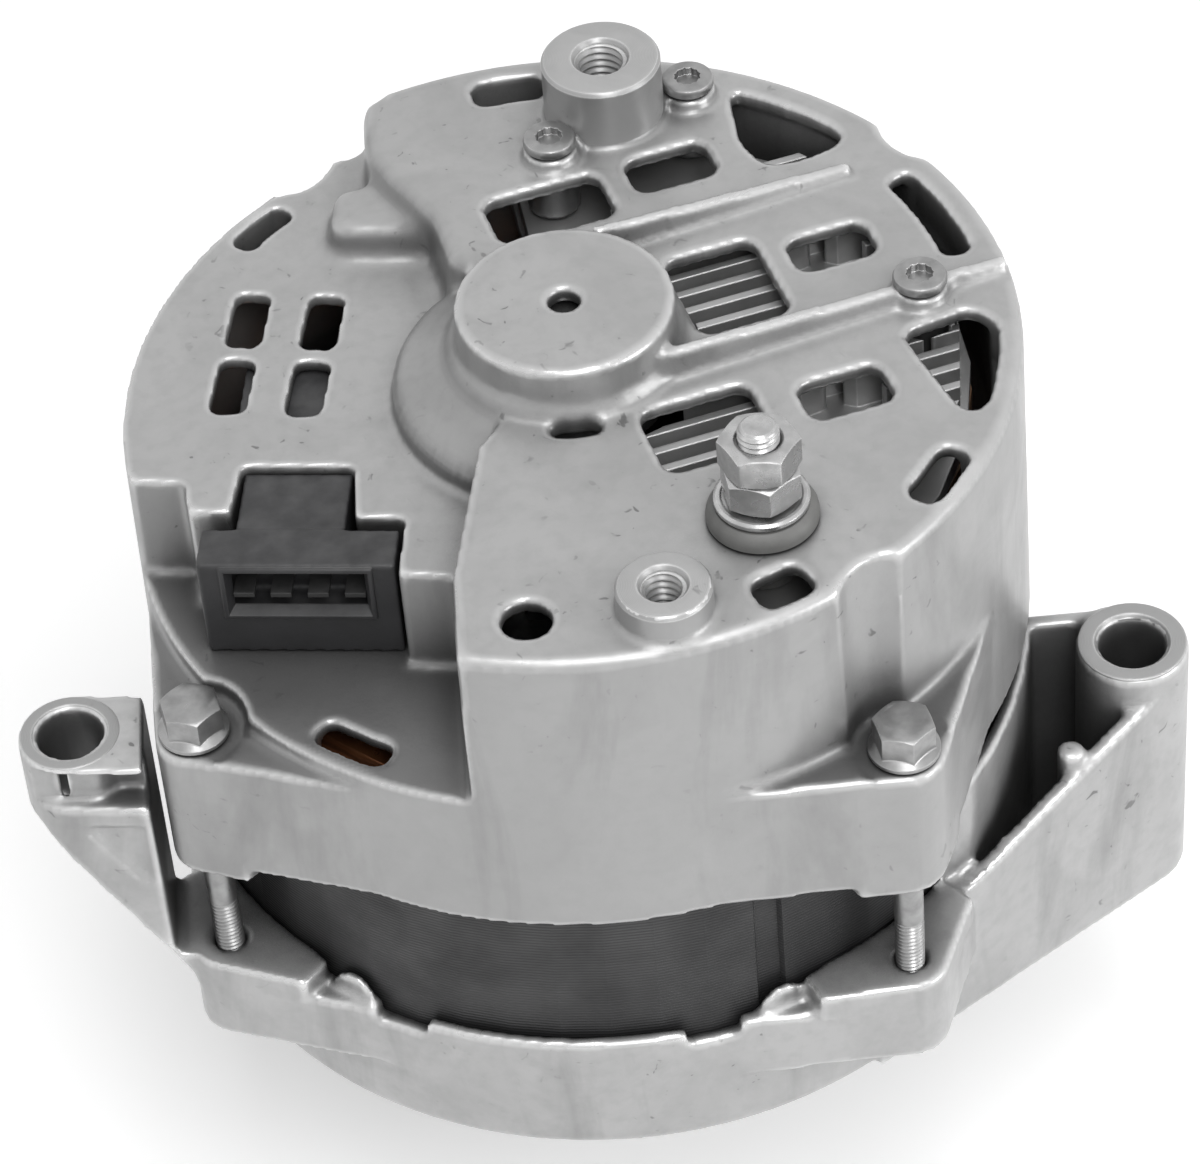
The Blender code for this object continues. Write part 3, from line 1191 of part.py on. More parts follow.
def build_poles():
    front = move(pole_half(), Matrix.Translation((0.0, 0.0, ROTOR_LOW)))
    finish(front, "front_pole_half", "pole_steel")
    rear = spun(pole_half(), 180.0 / POLE_PAIRS)
    rear = move(rear, Matrix.Rotation(math.pi, 4, "X"))
    rear = move(rear, Matrix.Translation((0.0, 0.0, ROTOR_TOP)))
    finish(rear, "rear_pole_half", "pole_steel")
    low, high = ROTOR_LOW + POLE_DISC_THICKNESS + SEAT, ROTOR_TOP - POLE_DISC_THICKNESS - SEAT
    inner, edge = POLE_CORE_RADIUS + 2 * SEAT, 0.0012
    coil = turned([
        (FIELD_COIL_RADIUS - edge, high), (FIELD_COIL_RADIUS, high - edge), (FIELD_COIL_RADIUS, low + edge),
        (FIELD_COIL_RADIUS - edge, low), (inner, low), (inner, high),
    ], 18)
    finish(coil, "field_coil", "copper")


def fan(plate_low, radius, hole, plate_thickness, blade_height, blade_count, blade_root):
    """A pressed fan: a flat disc with blades that stand up and lean across it."""
    plate_top = plate_low + plate_thickness
    wheel = turned([(radius, plate_top), (radius, plate_low), (hole, plate_low), (hole, plate_top)], 24)
    thickness, lean = 0.0014, 24.0
    for i in range(blade_count):
        blade = rectangle(blade_root, -thickness / 2, radius - 0.0010, thickness / 2)
        pivot = (blade_root + radius) / 2
        blade = shifted(rotated(shifted(blade, (-pivot, 0.0)), lean), (pivot, 0.0))
        blade = rotated(blade, 360.0 / blade_count * i)
        wheel = join(wheel, prism(blade, plate_top - plate_thickness / 2, plate_top + blade_height))
    return wheel


def build_fans():
    front = fan(FAN_LOW, FAN_RADIUS, SHAFT_RADIUS + SEAT, FAN_PLATE_THICKNESS, FAN_BLADE_HEIGHT,
                FAN_BLADE_COUNT, FAN_BLADE_ROOT_RADIUS)
    finish(front, "drive_end_fan", "painted_steel")
    rear = fan(REAR_FAN_LOW, REAR_FAN_RADIUS, REAR_FAN_HOLE, FAN_PLATE_THICKNESS, REAR_FAN_BLADE_HEIGHT,
               REAR_FAN_BLADE_COUNT, REAR_FAN_RADIUS * 0.60)
    finish(rear, "slip_ring_end_fan", "painted_steel")


def build_slip_rings():
    inner = SLIP_RING_RADIUS - SLIP_RING_WALL
    sleeve_in, sleeve_out = SLIP_SEAT_RADIUS + SEAT, inner - SEAT
    gap_low = SLIP_RINGS_LOW + SLIP_RING_WIDTH + SEAT
    gap_high = gap_low + SLIP_RING_GAP - 2 * SEAT
    flange = SLIP_RING_RADIUS - 0.0004
    foot = SLIP_RINGS_LOW - SEAT
    sleeve = turned([
        (sleeve_out, SLIP_RINGS_TOP), (sleeve_out, gap_high), (flange, gap_high), (flange, gap_low),
        (sleeve_out, gap_low), (sleeve_out, foot), (flange, foot), (flange, foot - 0.0016),
        (sleeve_in, foot - 0.0016), (sleeve_in, SLIP_RINGS_TOP),
    ], 14)
    finish(sleeve, "slip_ring_sleeve", "brown_insulation")
    for name, low in (("lower_slip_ring", SLIP_RINGS_LOW), ("upper_slip_ring", SLIP_RINGS_LOW + SLIP_RING_WIDTH + SLIP_RING_GAP)):
        top = low + SLIP_RING_WIDTH
        ring = turned([(SLIP_RING_RADIUS, top), (SLIP_RING_RADIUS, low), (inner, low), (inner, top)], 18)
        finish(ring, name, "copper")


def pulley_profile():
    """The ribbed rim from top to bottom, then the recess, hub and bore back up."""
    points = [(PULLEY_RADIUS, PULLEY_TOP)]
    level = PULLEY_TOP - PULLEY_END_LAND
    half_groove = GROOVE_PITCH / 2
    for _ in range(PULLEY_GROOVES):
        points += [(PULLEY_RADIUS, level), (PULLEY_RADIUS - GROOVE_DEPTH, level - half_groove)]
        level -= GROOVE_PITCH
    points.append((PULLEY_RADIUS, level))
    recess = PULLEY_LOW + PULLEY_WEB_DEPTH
    inside = PULLEY_RADIUS - PULLEY_RIM_THICKNESS
    points += [
        (PULLEY_RADIUS, PULLEY_LOW), (inside, PULLEY_LOW), (inside - 0.0010, recess), (PULLEY_HUB_RADIUS + 0.0006, recess),
        (PULLEY_HUB_RADIUS, PULLEY_LOW), (SHAFT_RADIUS + SEAT, PULLEY_LOW), (SHAFT_RADIUS + SEAT, PULLEY_TOP),
    ]
    return points


def build_pulley_end():
    finish(turned(pulley_profile(), 20), "drive_pulley", "zinc_steel", 25.0)
    bore = SHAFT_THREAD_RADIUS + SEAT
    washer = turned([
        (LOCK_WASHER_RADIUS, WASHER_TOP), (LOCK_WASHER_RADIUS, WASHER_LOW), (bore, WASHER_LOW), (bore, WASHER_TOP),
    ], 20)
    finish(washer, "pulley_lock_washer", "zinc_steel")
    nut = prism(hexagon(NUT_ACROSS_FLATS), NUT_LOW, NUT_TOP, holes=(circle((0, 0), bore, 18),))
    finish(nut, "pulley_nut", "zinc_steel", 25.0)
    spacer = turned([
        (SPACER_RADIUS, BEARING_LOW - SEAT), (SPACER_RADIUS, FAN_PLATE_TOP + SEAT),
        (SHAFT_RADIUS + SEAT, FAN_PLATE_TOP + SEAT), (SHAFT_RADIUS + SEAT, BEARING_LOW - SEAT),
    ], 16)
    finish(spacer, "fan_spacer", "zinc_steel")


# Rear roller bearing

def build_rear_bearing():
    track = REAR_JOURNAL_RADIUS + 2 * ROLLER_RADIUS + 2 * RUNNING
    lip = track - 0.0009
    cup = turned([
        (REAR_CUP_RADIUS, REAR_CUP_TOP), (REAR_CUP_RADIUS, REAR_CUP_LOW), (lip, REAR_CUP_LOW),
        (lip, REAR_CUP_LOW + REAR_CUP_LIP), (track, REAR_CUP_LOW + REAR_CUP_LIP), (track, REAR_CUP_TOP),
    ], 20)
    finish(cup, "rear_bearing_cup", "bearing_steel")
    low, high = REAR_CUP_LOW + REAR_CUP_LIP + SEAT, REAR_CUP_TOP - 0.0012
    centre = REAR_JOURNAL_RADIUS + ROLLER_RADIUS + RUNNING
    inner, outer, ring = centre - ROLLER_RADIUS - 0.00005, centre + ROLLER_RADIUS + 0.00005, 0.0010
    cage = turned([(outer, low + ring), (outer, low), (inner, low), (inner, low + ring)], 2 * ROLLER_COUNT)
    cage = join(cage, *[
        cylinder(polar(centre, 360.0 / ROLLER_COUNT * i), ROLLER_RADIUS, low + 0.0005, high - 0.0005, 8)
        for i in range(ROLLER_COUNT)
    ])
    cage = join(cage, turned([(outer, high), (outer, high - ring), (inner, high - ring), (inner, high)], 2 * ROLLER_COUNT))
    set_origin(finish(cage, "rear_bearing_roller_cage", "bearing_steel"), (0.0, 0.0, (low + high) / 2))


# Rectifier under the vented plate

def build_rectifier():
    sector = band(SINK_INNER, SINK_OUTER, SINK_START, SINK_END, 12)
    sink = prism(sector, SINK_LOW, SINK_TOP)
    fins = bmesh.new()
    count = FIN_COUNT // 2
    for i in range(-count, count + 1):
        made = bmesh.ops.create_cube(fins, size=1.0)["verts"]
        bmesh.ops.scale(fins, verts=made, vec=(2.4 * SINK_OUTER, FIN_THICKNESS, FIN_TOP - SINK_TOP + 0.0010))
        bmesh.ops.translate(fins, verts=made, vec=(0.0, FIN_PITCH * i, (FIN_TOP + SINK_TOP - 0.0010) / 2))
    mesh = bpy.data.meshes.new("fins")
    fins.to_mesh(mesh)
    fins.free()
    comb = spun(add_tool(mesh), VENT_TURN)
    field = band(SINK_INNER + 0.0010, SINK_OUTER - 0.0010, SINK_START + 2.0, 76.0, 8)
    comb = shared(comb, prism(field, SINK_TOP - 0.0020, FIN_TOP + 0.0020))
    clear = [cylinder(polar(DIODE_CIRCLE, a), DIODE_RADIUS + 0.0030, SINK_TOP - 0.0020, FIN_TOP + 0.0020, 8)
             for a in POSITIVE_DIODE_ANGLES]
    clear += [cylinder(c, SCREW_BOSS_RADIUS + 0.0014, SINK_TOP - 0.0020, FIN_TOP + 0.0020, 8) for c in SCREW_BOSS_CENTRES]
    clear.append(cylinder(STUD_CENTRE, INSULATOR_RADIUS + 0.0010, SINK_TOP - 0.0020, FIN_TOP + 0.0020, 8))
    sink = join(sink, cut(comb, *clear))
    holes = [cylinder(polar(DIODE_CIRCLE, a), DIODE_RADIUS + SEAT, SINK_LOW - 0.0010, SINK_TOP + 0.0010, 12)
             for a in POSITIVE_DIODE_ANGLES]
    holes += [cylinder(c, SCREW_RADIUS + SEAT, SINK_LOW - 0.0010, SINK_TOP + 0.0010, 8) for c in SCREW_BOSS_CENTRES]
    holes.append(cylinder(STUD_CENTRE, STUD_RADIUS + SEAT, SINK_LOW - 0.0010, SINK_TOP + 0.0010, 12))
    finish(cut(sink, *holes), "positive_heat_sink", "cast_aluminium")

    spacer = prism(band(DIODE_CIRCLE + DIODE_RADIUS + 0.0013, SINK_OUTER, SINK_START + 4.0, SINK_END - 4.0, 10),
                   RECTIFIER_INSULATOR_LOW, RECTIFIER_INSULATOR_LOW + RECTIFIER_INSULATOR_HEIGHT)
    arm = prism(band(DIODE_CIRCLE - 0.0050, SINK_OUTER - 0.0060, 87.0, SINK_END - 4.5, 2),
                RECTIFIER_INSULATOR_LOW, RECTIFIER_INSULATOR_LOW + RECTIFIER_INSULATOR_HEIGHT)
    spacer = join(spacer, arm)
    through = [cylinder(c, SCREW_RADIUS + SEAT, RECTIFIER_INSULATOR_LOW - 0.001, SINK_LOW + 0.001, 8) for c in SCREW_BOSS_CENTRES]
    through.append(cylinder(STUD_CENTRE, TERMINAL_FLATS / math.sqrt(3) + SEAT, RECTIFIER_INSULATOR_LOW - 0.001, SINK_LOW + 0.001, 12))
    finish(cut(spacer, *through), "rectifier_insulator", "brown_insulation")

    plate = prism(band(SINK_INNER + 0.0030, SINK_OUTER, SINK_START + 16.0, SINK_END, 10), NEGATIVE_SINK_LOW, NEGATIVE_SINK_TOP)
    holes = [cylinder(polar(DIODE_CIRCLE, a), DIODE_RADIUS + SEAT, NEGATIVE_SINK_LOW - 0.001, NEGATIVE_SINK_TOP + 0.001, 12)
             for a in NEGATIVE_DIODE_ANGLES]
    holes += [cylinder(c, SCREW_RADIUS + SEAT, NEGATIVE_SINK_LOW - 0.001, NEGATIVE_SINK_TOP + 0.001, 8) for c in SCREW_BOSS_CENTRES]
    finish(cut(plate, *holes), "negative_heat_sink", "cast_aluminium")

    for i, angle in enumerate(POSITIVE_DIODE_ANGLES):
        build_diode(f"positive_diode_{i + 1}", polar(DIODE_CIRCLE, angle), SINK_LOW - 0.0012)
    for i, angle in enumerate(NEGATIVE_DIODE_ANGLES):
        build_diode(f"negative_diode_{i + 1}", polar(DIODE_CIRCLE, angle), NEGATIVE_SINK_LOW - 0.0012)


def build_diode(name, centre, low):
    body = DIODE_HEIGHT * 0.72
    diode = turned([
        (0.0, low + DIODE_HEIGHT), (0.0007, low + DIODE_HEIGHT), (0.0007, low + body), (DIODE_RADIUS - 0.0008, low + body),
        (DIODE_RADIUS, low + body - 0.0008), (DIODE_RADIUS, low), (0.0, low),
    ], 8, closed=False)
    move(diode, Matrix.Translation((*centre, 0.0)))
    finish(diode, name, "zinc_steel")


def build_rectifier_screws():
    seat = PLATE_TOP + SCREW_BOSS_HEIGHT + SEAT
    for i, centre in enumerate(SCREW_BOSS_CENTRES):
        screw = turned([
            (0.0, seat + SCREW_HEAD_HEIGHT * 0.5), (SCREW_RADIUS, seat + SCREW_HEAD_HEIGHT * 0.5),
            (SCREW_RADIUS, seat + SCREW_HEAD_HEIGHT), (SCREW_HEAD_RADIUS, seat + SCREW_HEAD_HEIGHT),
            (SCREW_HEAD_RADIUS, seat), (SCREW_RADIUS, seat), (SCREW_RADIUS, NEGATIVE_SINK_LOW - 0.0010),
            (0.0, NEGATIVE_SINK_LOW - 0.0010),
        ], 10, closed=False)
        move(screw, Matrix.Translation((*centre, 0.0)))
        finish(screw, f"rectifier_screw_{i + 1}", "zinc_steel")


# Battery terminal

def build_battery_terminal():
    place = Matrix.Translation((*STUD_CENTRE, 0.0))
    flange_top = PLATE_TOP + INSULATOR_RISE
    bore = STUD_RADIUS + SEAT
    insulator = turned([
        (INSULATOR_RADIUS, flange_top), (INSULATOR_RADIUS, PLATE_TOP + SEAT), (INSULATOR_SLEEVE_RADIUS, PLATE_TOP + SEAT),
        (INSULATOR_SLEEVE_RADIUS, SINK_TOP + SEAT), (bore, SINK_TOP + SEAT), (bore, flange_top),
    ], 18)
    finish(move(insulator, place), "battery_stud_insulator", "black_plastic")
    washer_low = flange_top + SEAT
    washer_top = washer_low + TERMINAL_WASHER_THICKNESS
    washer = turned([
        (TERMINAL_WASHER_RADIUS, washer_top), (TERMINAL_WASHER_RADIUS, washer_low), (bore, washer_low), (bore, washer_top),
    ], 20)
    finish(move(washer, place), "battery_terminal_washer", "zinc_steel")
    level = washer_top + SEAT
    for name in ("battery_stud_nut", "battery_cable_nut"):
        nut = prism(hexagon(TERMINAL_FLATS), level, level + TERMINAL_NUT_HEIGHT, holes=(circle((0, 0), bore, 12),))
        nut = spun(nut, 10.0 if name == "battery_stud_nut" else 24.0)
        finish(move(nut, place), name, "zinc_steel", 25.0)
        level += TERMINAL_NUT_HEIGHT + SEAT
    stud = cylinder((0, 0), STUD_RADIUS, SINK_LOW - 0.0006, level + STUD_STANDOUT, 12)
    stud = join(stud, prism(hexagon(TERMINAL_FLATS * 0.9), SINK_LOW - 0.0036, SINK_LOW - SEAT))
    finish(move(stud, place), "battery_stud", "zinc_steel")


# Regulator with its connector, brush holder, brushes and springs

def blade_level():
    """Height of the connector's blades, which leaves room for the plug's latch above them."""
    return DECK_TOP - CONNECTOR_TOP_BELOW_DECK - SOCKET_LID - SOCKET_HEIGHT + BLADE_RISE


def build_regulator():
    top = DECK_TOP - CONNECTOR_TOP_BELOW_DECK
    low = SHELF_TOP + SEAT
    inside_top = DECK_UNDER - SEAT
    inside_low = SHELF_UNDER + 0.0010
    left, right = NECK_LEFT + SEAT, NECK_RIGHT - SEAT
    regulator = block((CONNECTOR_LEFT, CONNECTOR_FRONT, low), (CONNECTOR_RIGHT, CONNECTOR_BACK, top))
    regulator = join(
        regulator,
        block((left, CONNECTOR_BACK - 0.0005, low + 0.0010), (right, CONNECTOR_NECK_BACK, top - 0.0004)),
        block((left + SEAT, CONNECTOR_NECK_BACK - 0.0005, SHELF_TOP + 0.0024), (right - SEAT, -0.0128, inside_top - 0.0005)),
        block((-0.0495, -0.0133, inside_low), (brush_holder_left() - SEAT, BRUSH_HOLDER_WIDTH / 2, inside_top)),
    )
    socket_top = top - SOCKET_LID
    regulator = cut(regulator, block(
        (CONNECTOR_LEFT + SOCKET_WALL, CONNECTOR_FRONT - 0.0010, socket_top - SOCKET_HEIGHT),
        (CONNECTOR_RIGHT - SOCKET_WALL, CONNECTOR_FRONT + SOCKET_DEPTH, socket_top),
    ))
    finish(spun(regulator, CONNECTOR_TURN), "voltage_regulator", "black_plastic")
    left, right = CONNECTOR_LEFT + SOCKET_WALL, CONNECTOR_RIGHT - SOCKET_WALL
    pitch = (right - left) / BLADE_COUNT
    level = blade_level()
    width, length, thickness = BLADE_SIZE
    for i in range(BLADE_COUNT):
        middle = left + pitch * (i + 0.5)
        back = CONNECTOR_FRONT + SOCKET_DEPTH - SEAT
        blade = block((middle - width / 2, back - length, level - thickness / 2), (middle + width / 2, back, level + thickness / 2))
        finish(spun(blade, CONNECTOR_TURN), f"connector_blade_{i + 1}", "copper")


def brush_tip():
    return -(SLIP_RING_RADIUS + SEAT)


def brush_holder_left():
    return brush_tip() - BRUSH_SIZE[0] - BRUSH_SPRING_SPACE - BRUSH_HOLDER_END_WALL


def brush_levels():
    half = SLIP_RING_WIDTH / 2
    return {"lower": SLIP_RINGS_LOW + half, "upper": SLIP_RINGS_LOW + SLIP_RING_WIDTH + SLIP_RING_GAP + half}


def build_brush_gear():
    length, width, height = BRUSH_SIZE
    levels = brush_levels()
    tip = brush_tip()
    left = brush_holder_left()
    half_height = height / 2 + SEAT
    holder = block(
        (left, -BRUSH_HOLDER_WIDTH / 2, levels["lower"] - half_height - BRUSH_HOLDER_MARGIN),
        (tip - 0.0014, BRUSH_HOLDER_WIDTH / 2, levels["upper"] + half_height + BRUSH_HOLDER_MARGIN),
    )
    for level in levels.values():
        holder = cut(holder, block(
            (left + BRUSH_HOLDER_END_WALL, -width / 2 - SEAT, level - half_height), (tip + 0.0100, width / 2 + SEAT, level + half_height),
        ))
    finish(spun(holder, CONNECTOR_TURN), "brush_holder", "black_plastic")
    for name, level in levels.items():
        brush = block((tip - length, -width / 2, level - height / 2), (tip, width / 2, level + height / 2))
        brush = spun(brush, CONNECTOR_TURN)
        finish(brush, f"{name}_brush", "carbon")
        set_origin(brush, (*rotated([(tip, 0.0)], CONNECTOR_TURN)[0], level))
        build_brush_spring(name, level, left + BRUSH_HOLDER_END_WALL + SEAT, tip - length - SEAT)


def build_brush_spring(name, level, start, end):
    """A small coil spring that pushes its brush towards the slip ring."""
    per_turn = 6
    count = BRUSH_SPRING_TURNS * per_turn
    first, last = start + BRUSH_SPRING_WIRE, end - BRUSH_SPRING_WIRE
    curve = bpy.data.curves.new("coil", "CURVE")
    curve.dimensions = "3D"
    curve.bevel_depth = BRUSH_SPRING_WIRE
    curve.bevel_resolution = 0
    curve.use_fill_caps = True
    spline = curve.splines.new("POLY")
    spline.points.add(count)
    for i, point in enumerate(spline.points):
        angle = 2 * math.pi * i / per_turn
        along = first + (last - first) * i / count
        across = BRUSH_SPRING_RADIUS * math.cos(angle)
        up = BRUSH_SPRING_RADIUS * math.sin(angle)
        point.co = (along, across, level + up, 1.0)
    obj = bpy.data.objects.new("coil", curve)
    TOOLS.objects.link(obj)
    finish(spun(settle(obj), CONNECTOR_TURN), f"{name}_brush_spring", "zinc_steel")


def build_capacitor():
    """The interference capacitor, clipped up under the vented plate."""
    top = PLATE_UNDER - SEAT
    half = (CAPACITOR_SIZE[0] / 2, CAPACITOR_SIZE[1] / 2)
    outline = rounded(rectangle(-half[0], -half[1], half[0], half[1]), 0.0020, 2)
    can = prism(shifted(outline, CAPACITOR_CENTRE), top - CAPACITOR_SIZE[2], top)
    finish(can, "suppression_capacitor", "painted_steel")


build_slip_ring_end_frame()
build_drive_end_frame()
build_stator_core()
build_stator_winding()
build_front_bearing()
build_bearing_retainer()
build_through_bolts()
build_shaft()
build_poles()
build_fans()
build_slip_rings()
build_pulley_end()
build_rear_bearing()
build_rectifier()
build_rectifier_screws()
build_battery_terminal()
build_regulator()
build_brush_gear()
build_capacitor()
bpy.context.scene.collection.children.unlink(TOOLS)
bpy.data.collections.remove(TOOLS)
print("pieces:", len(PIECES.objects))
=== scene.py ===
# %% [markdown]
# A belt-driven alternator, seen from its slip-ring end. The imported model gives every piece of
# the machine at its real size and place, and this lesson dresses it: cast skins with soft
# edges, cut threads, chamfered nuts and finishes that carry grain, stains and wear.

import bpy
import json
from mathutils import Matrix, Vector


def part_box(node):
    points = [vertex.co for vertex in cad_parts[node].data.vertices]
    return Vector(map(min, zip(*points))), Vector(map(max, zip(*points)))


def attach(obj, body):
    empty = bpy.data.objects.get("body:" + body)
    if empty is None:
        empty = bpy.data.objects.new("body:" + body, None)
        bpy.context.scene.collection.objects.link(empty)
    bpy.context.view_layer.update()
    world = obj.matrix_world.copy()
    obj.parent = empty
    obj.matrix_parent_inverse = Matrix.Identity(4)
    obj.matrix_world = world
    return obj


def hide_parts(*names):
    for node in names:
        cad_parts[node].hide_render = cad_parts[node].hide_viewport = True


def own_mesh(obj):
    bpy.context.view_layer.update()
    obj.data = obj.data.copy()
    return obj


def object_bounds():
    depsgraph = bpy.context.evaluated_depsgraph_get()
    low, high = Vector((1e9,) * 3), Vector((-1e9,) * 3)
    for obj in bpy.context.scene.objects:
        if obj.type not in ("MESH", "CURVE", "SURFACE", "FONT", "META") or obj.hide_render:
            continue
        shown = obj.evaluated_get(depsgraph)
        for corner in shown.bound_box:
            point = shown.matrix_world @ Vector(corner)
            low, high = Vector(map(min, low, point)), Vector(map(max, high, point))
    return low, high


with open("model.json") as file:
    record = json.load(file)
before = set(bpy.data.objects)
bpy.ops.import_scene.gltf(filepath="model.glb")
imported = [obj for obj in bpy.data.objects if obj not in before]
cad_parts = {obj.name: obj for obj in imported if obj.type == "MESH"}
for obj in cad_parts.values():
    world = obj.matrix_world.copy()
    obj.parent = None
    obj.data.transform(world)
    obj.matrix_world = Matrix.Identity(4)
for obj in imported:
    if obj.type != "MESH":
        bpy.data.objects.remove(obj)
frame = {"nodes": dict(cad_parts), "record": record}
CAD_BOX = [list(corner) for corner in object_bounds()]

import json
import math
import bmesh
import bpy
import numpy as np
from mathutils import Matrix, Vector

nodes = frame["nodes"]
print("nodes", len(nodes), "box", CAD_BOX)

# %% [markdown]
# The camera looks down at the machine from the front at a little under half a right angle,
# and the whole picture leans slightly, as if the machine lay turned on the table. The lens is
# long, so the far side of the plate is hardly smaller than the near side.

# %% Camera
FOCAL_PIXELS = 4965.2
PICTURE_WIDTH = 1200.0
SENSOR_WIDTH = 36.0
HUB_TOP = 0.16096
CAMERA_BACK = 0.5389
CAMERA_ABOVE_HUB = 0.47241
YAW = math.radians(0.1694)
PITCH = math.radians(44.528)
ROLL = math.radians(-5.085)


def look_matrix(place, yaw, pitch, roll):
    """A camera's matrix from where it stands and how it is turned."""
    level, drop = math.cos(pitch), -math.sin(pitch)
    forward = Vector((math.sin(yaw) * level, math.cos(yaw) * level, drop))
    right = Vector((math.cos(yaw), -math.sin(yaw), 0.0))
    up = right.cross(forward)
    turn = Matrix((right, up, -forward)).transposed()
    return Matrix.Translation(place) @ turn.to_4x4() @ Matrix.Rotation(roll, 4, "Z")


lens_data = bpy.data.cameras.new("picture_camera")
lens_data.sensor_fit = "HORIZONTAL"
lens_data.sensor_width = SENSOR_WIDTH
lens_data.lens = FOCAL_PIXELS / PICTURE_WIDTH * SENSOR_WIDTH
lens_data.clip_start = 0.01
lens_data.clip_end = 20.0
camera = bpy.data.objects.new("picture_camera", lens_data)
bpy.context.scene.collection.objects.link(camera)
stand = Vector((0.0, -CAMERA_BACK, CAMERA_ABOVE_HUB + HUB_TOP))
camera.matrix_world = look_matrix(stand, YAW, PITCH, ROLL)
bpy.context.scene.camera = camera
print("lens", round(lens_data.lens, 2), "mm")

# %% [markdown]
# The machine stands on a pale floor under soft light. Metal needs something to mirror, so the
# white surroundings are shown to mirror rays too, while the light that falls on the machine
# comes from a dim sky and three wide lamps. The tall one in front reaches from low to right
# overhead, so every edge that rolls over towards the viewer shows it as a bright line.

# %% Floor, sky and lamps
scene = bpy.context.scene
scene.view_settings.view_transform = "Standard"
FLOOR_LEVEL = CAD_BOX[0][2]
FLOOR_SIZE = 6.0
FLOOR_PAINT = (0.93, 0.93, 0.93, 1.0)
FLOOR_GLOW = 0.36
SKY_LIGHT = 0.34
WHITE = (1.0, 1.0, 1.0, 1.0)


def add_node(tree, kind, inputs=None, **settings):
    """A node with its settings, its numbers and its links from other sockets."""
    made = tree.nodes.new(kind)
    for name, value in settings.items():
        setattr(made, name, value)
    for key, value in (inputs or {}).items():
        if isinstance(value, bpy.types.NodeSocket):
            tree.links.new(value, made.inputs[key])
        else:
            made.inputs[key].default_value = value
    return made


def arithmetic(tree, operation, first, second):
    """One value from two, each of them a number or a socket."""
    return add_node(tree, "ShaderNodeMath", {0: first, 1: second}, operation=operation).outputs[0]


def white_to_viewer(tree):
    """1 for camera, mirror and see-through rays, 0 for the light that falls on things."""
    ray = add_node(tree, "ShaderNodeLightPath").outputs
    direct = arithmetic(tree, "MAXIMUM", ray["Is Camera Ray"], ray["Is Glossy Ray"])
    return arithmetic(tree, "MAXIMUM", direct, ray["Is Transmission Ray"])


world = bpy.data.worlds.new("studio_sky")
scene.world = world
world.use_nodes = True
sky = world.node_tree
sky.nodes.clear()
dim = add_node(sky, "ShaderNodeBackground", {"Color": WHITE, "Strength": SKY_LIGHT}).outputs[0]
shown = add_node(sky, "ShaderNodeBackground", {"Color": WHITE, "Strength": 1.0}).outputs[0]
both = add_node(sky, "ShaderNodeMixShader", {0: white_to_viewer(sky), 1: dim, 2: shown})
add_node(sky, "ShaderNodeOutputWorld", {"Surface": both.outputs[0]})


def add_lamp(name, place, target, width, height, power):
    """A soft lamp that faces a point."""
    data = bpy.data.lights.new(name, "AREA")
    data.shape = "RECTANGLE"
    data.size = width
    data.size_y = height
    data.energy = power
    lamp = bpy.data.objects.new(name, data)
    scene.collection.objects.link(lamp)
    lamp.location = place
    lamp.rotation_euler = (Vector(target) - Vector(place)).to_track_quat("-Z", "Y").to_euler()
    return lamp


MIDDLE = (0.0, 0.0, 0.10)
add_lamp("tall_front_softbox", (0.16, -0.74, 1.52), MIDDLE, 0.55, 1.5, 16.0)
add_lamp("left_softbox", (-1.3, 0.1, 0.9), MIDDLE, 0.8, 0.8, 0.6)
add_lamp("right_softbox", (1.25, -0.60, 0.60), MIDDLE, 0.7, 0.7, 7.0)

bpy.ops.object.select_all(action="DESELECT")
bpy.ops.mesh.primitive_plane_add(size=FLOOR_SIZE, location=(0.0, 0.0, FLOOR_LEVEL))
floor = bpy.context.active_object
floor.name = "studio_floor"
bpy.ops.object.transform_apply(location=True, rotation=True, scale=True)
paint = bpy.data.materials.new("pale_floor")
paint.use_nodes = True
floor_tree = paint.node_tree
floor_tree.nodes.clear()
matt = add_node(floor_tree, "ShaderNodeBsdfPrincipled",
                {"Base Color": FLOOR_PAINT, "Roughness": 0.9}).outputs[0]
glow = add_node(floor_tree, "ShaderNodeEmission",
                {"Color": WHITE, "Strength": FLOOR_GLOW}).outputs[0]
lifted = add_node(floor_tree, "ShaderNodeAddShader", {0: matt, 1: glow}).outputs[0]
surface = add_node(floor_tree, "ShaderNodeMixShader",
                   {0: white_to_viewer(floor_tree), 1: matt, 2: lifted})
add_node(floor_tree, "ShaderNodeOutputMaterial", {"Surface": surface.outputs[0]})
floor.data.materials.append(paint)
print("floor at", round(FLOOR_LEVEL, 4))

# %% [markdown]
# Four effects return in the finishes. Edge wear finds where a surface rolls over: a Bevel
# node gives the rounded normal there, and how far it leans from the true normal is the mask.
# Cast grain is a fine noise for the skin of a casting with wider cloudy stains and sparse
# pits. Dust is a soft noise that gathers on faces that look up. The fourth effect gives
# streaks along the draw, as a die's release agent leaves them, and painted shade: a darker
# tone on upright walls, and a dark tint in corners and pockets, where an Ambient Occlusion
# node measures how closed in a point is.

# %% Shared effects
VALUE, VECTOR = "NodeSocketFloat", "NodeSocketVector"


def new_group(name, inputs, outputs):
    """An empty node group with its sockets, and its two end nodes."""
    group = bpy.data.node_groups.new(name, "ShaderNodeTree")
    for label, value in inputs.items():
        socket = group.interface.new_socket(name=label, in_out="INPUT", socket_type=VALUE)
        socket.default_value = value
    for label, kind in outputs.items():
        group.interface.new_socket(name=label, in_out="OUTPUT", socket_type=kind)
    return group, add_node(group, "NodeGroupInput"), add_node(group, "NodeGroupOutput")


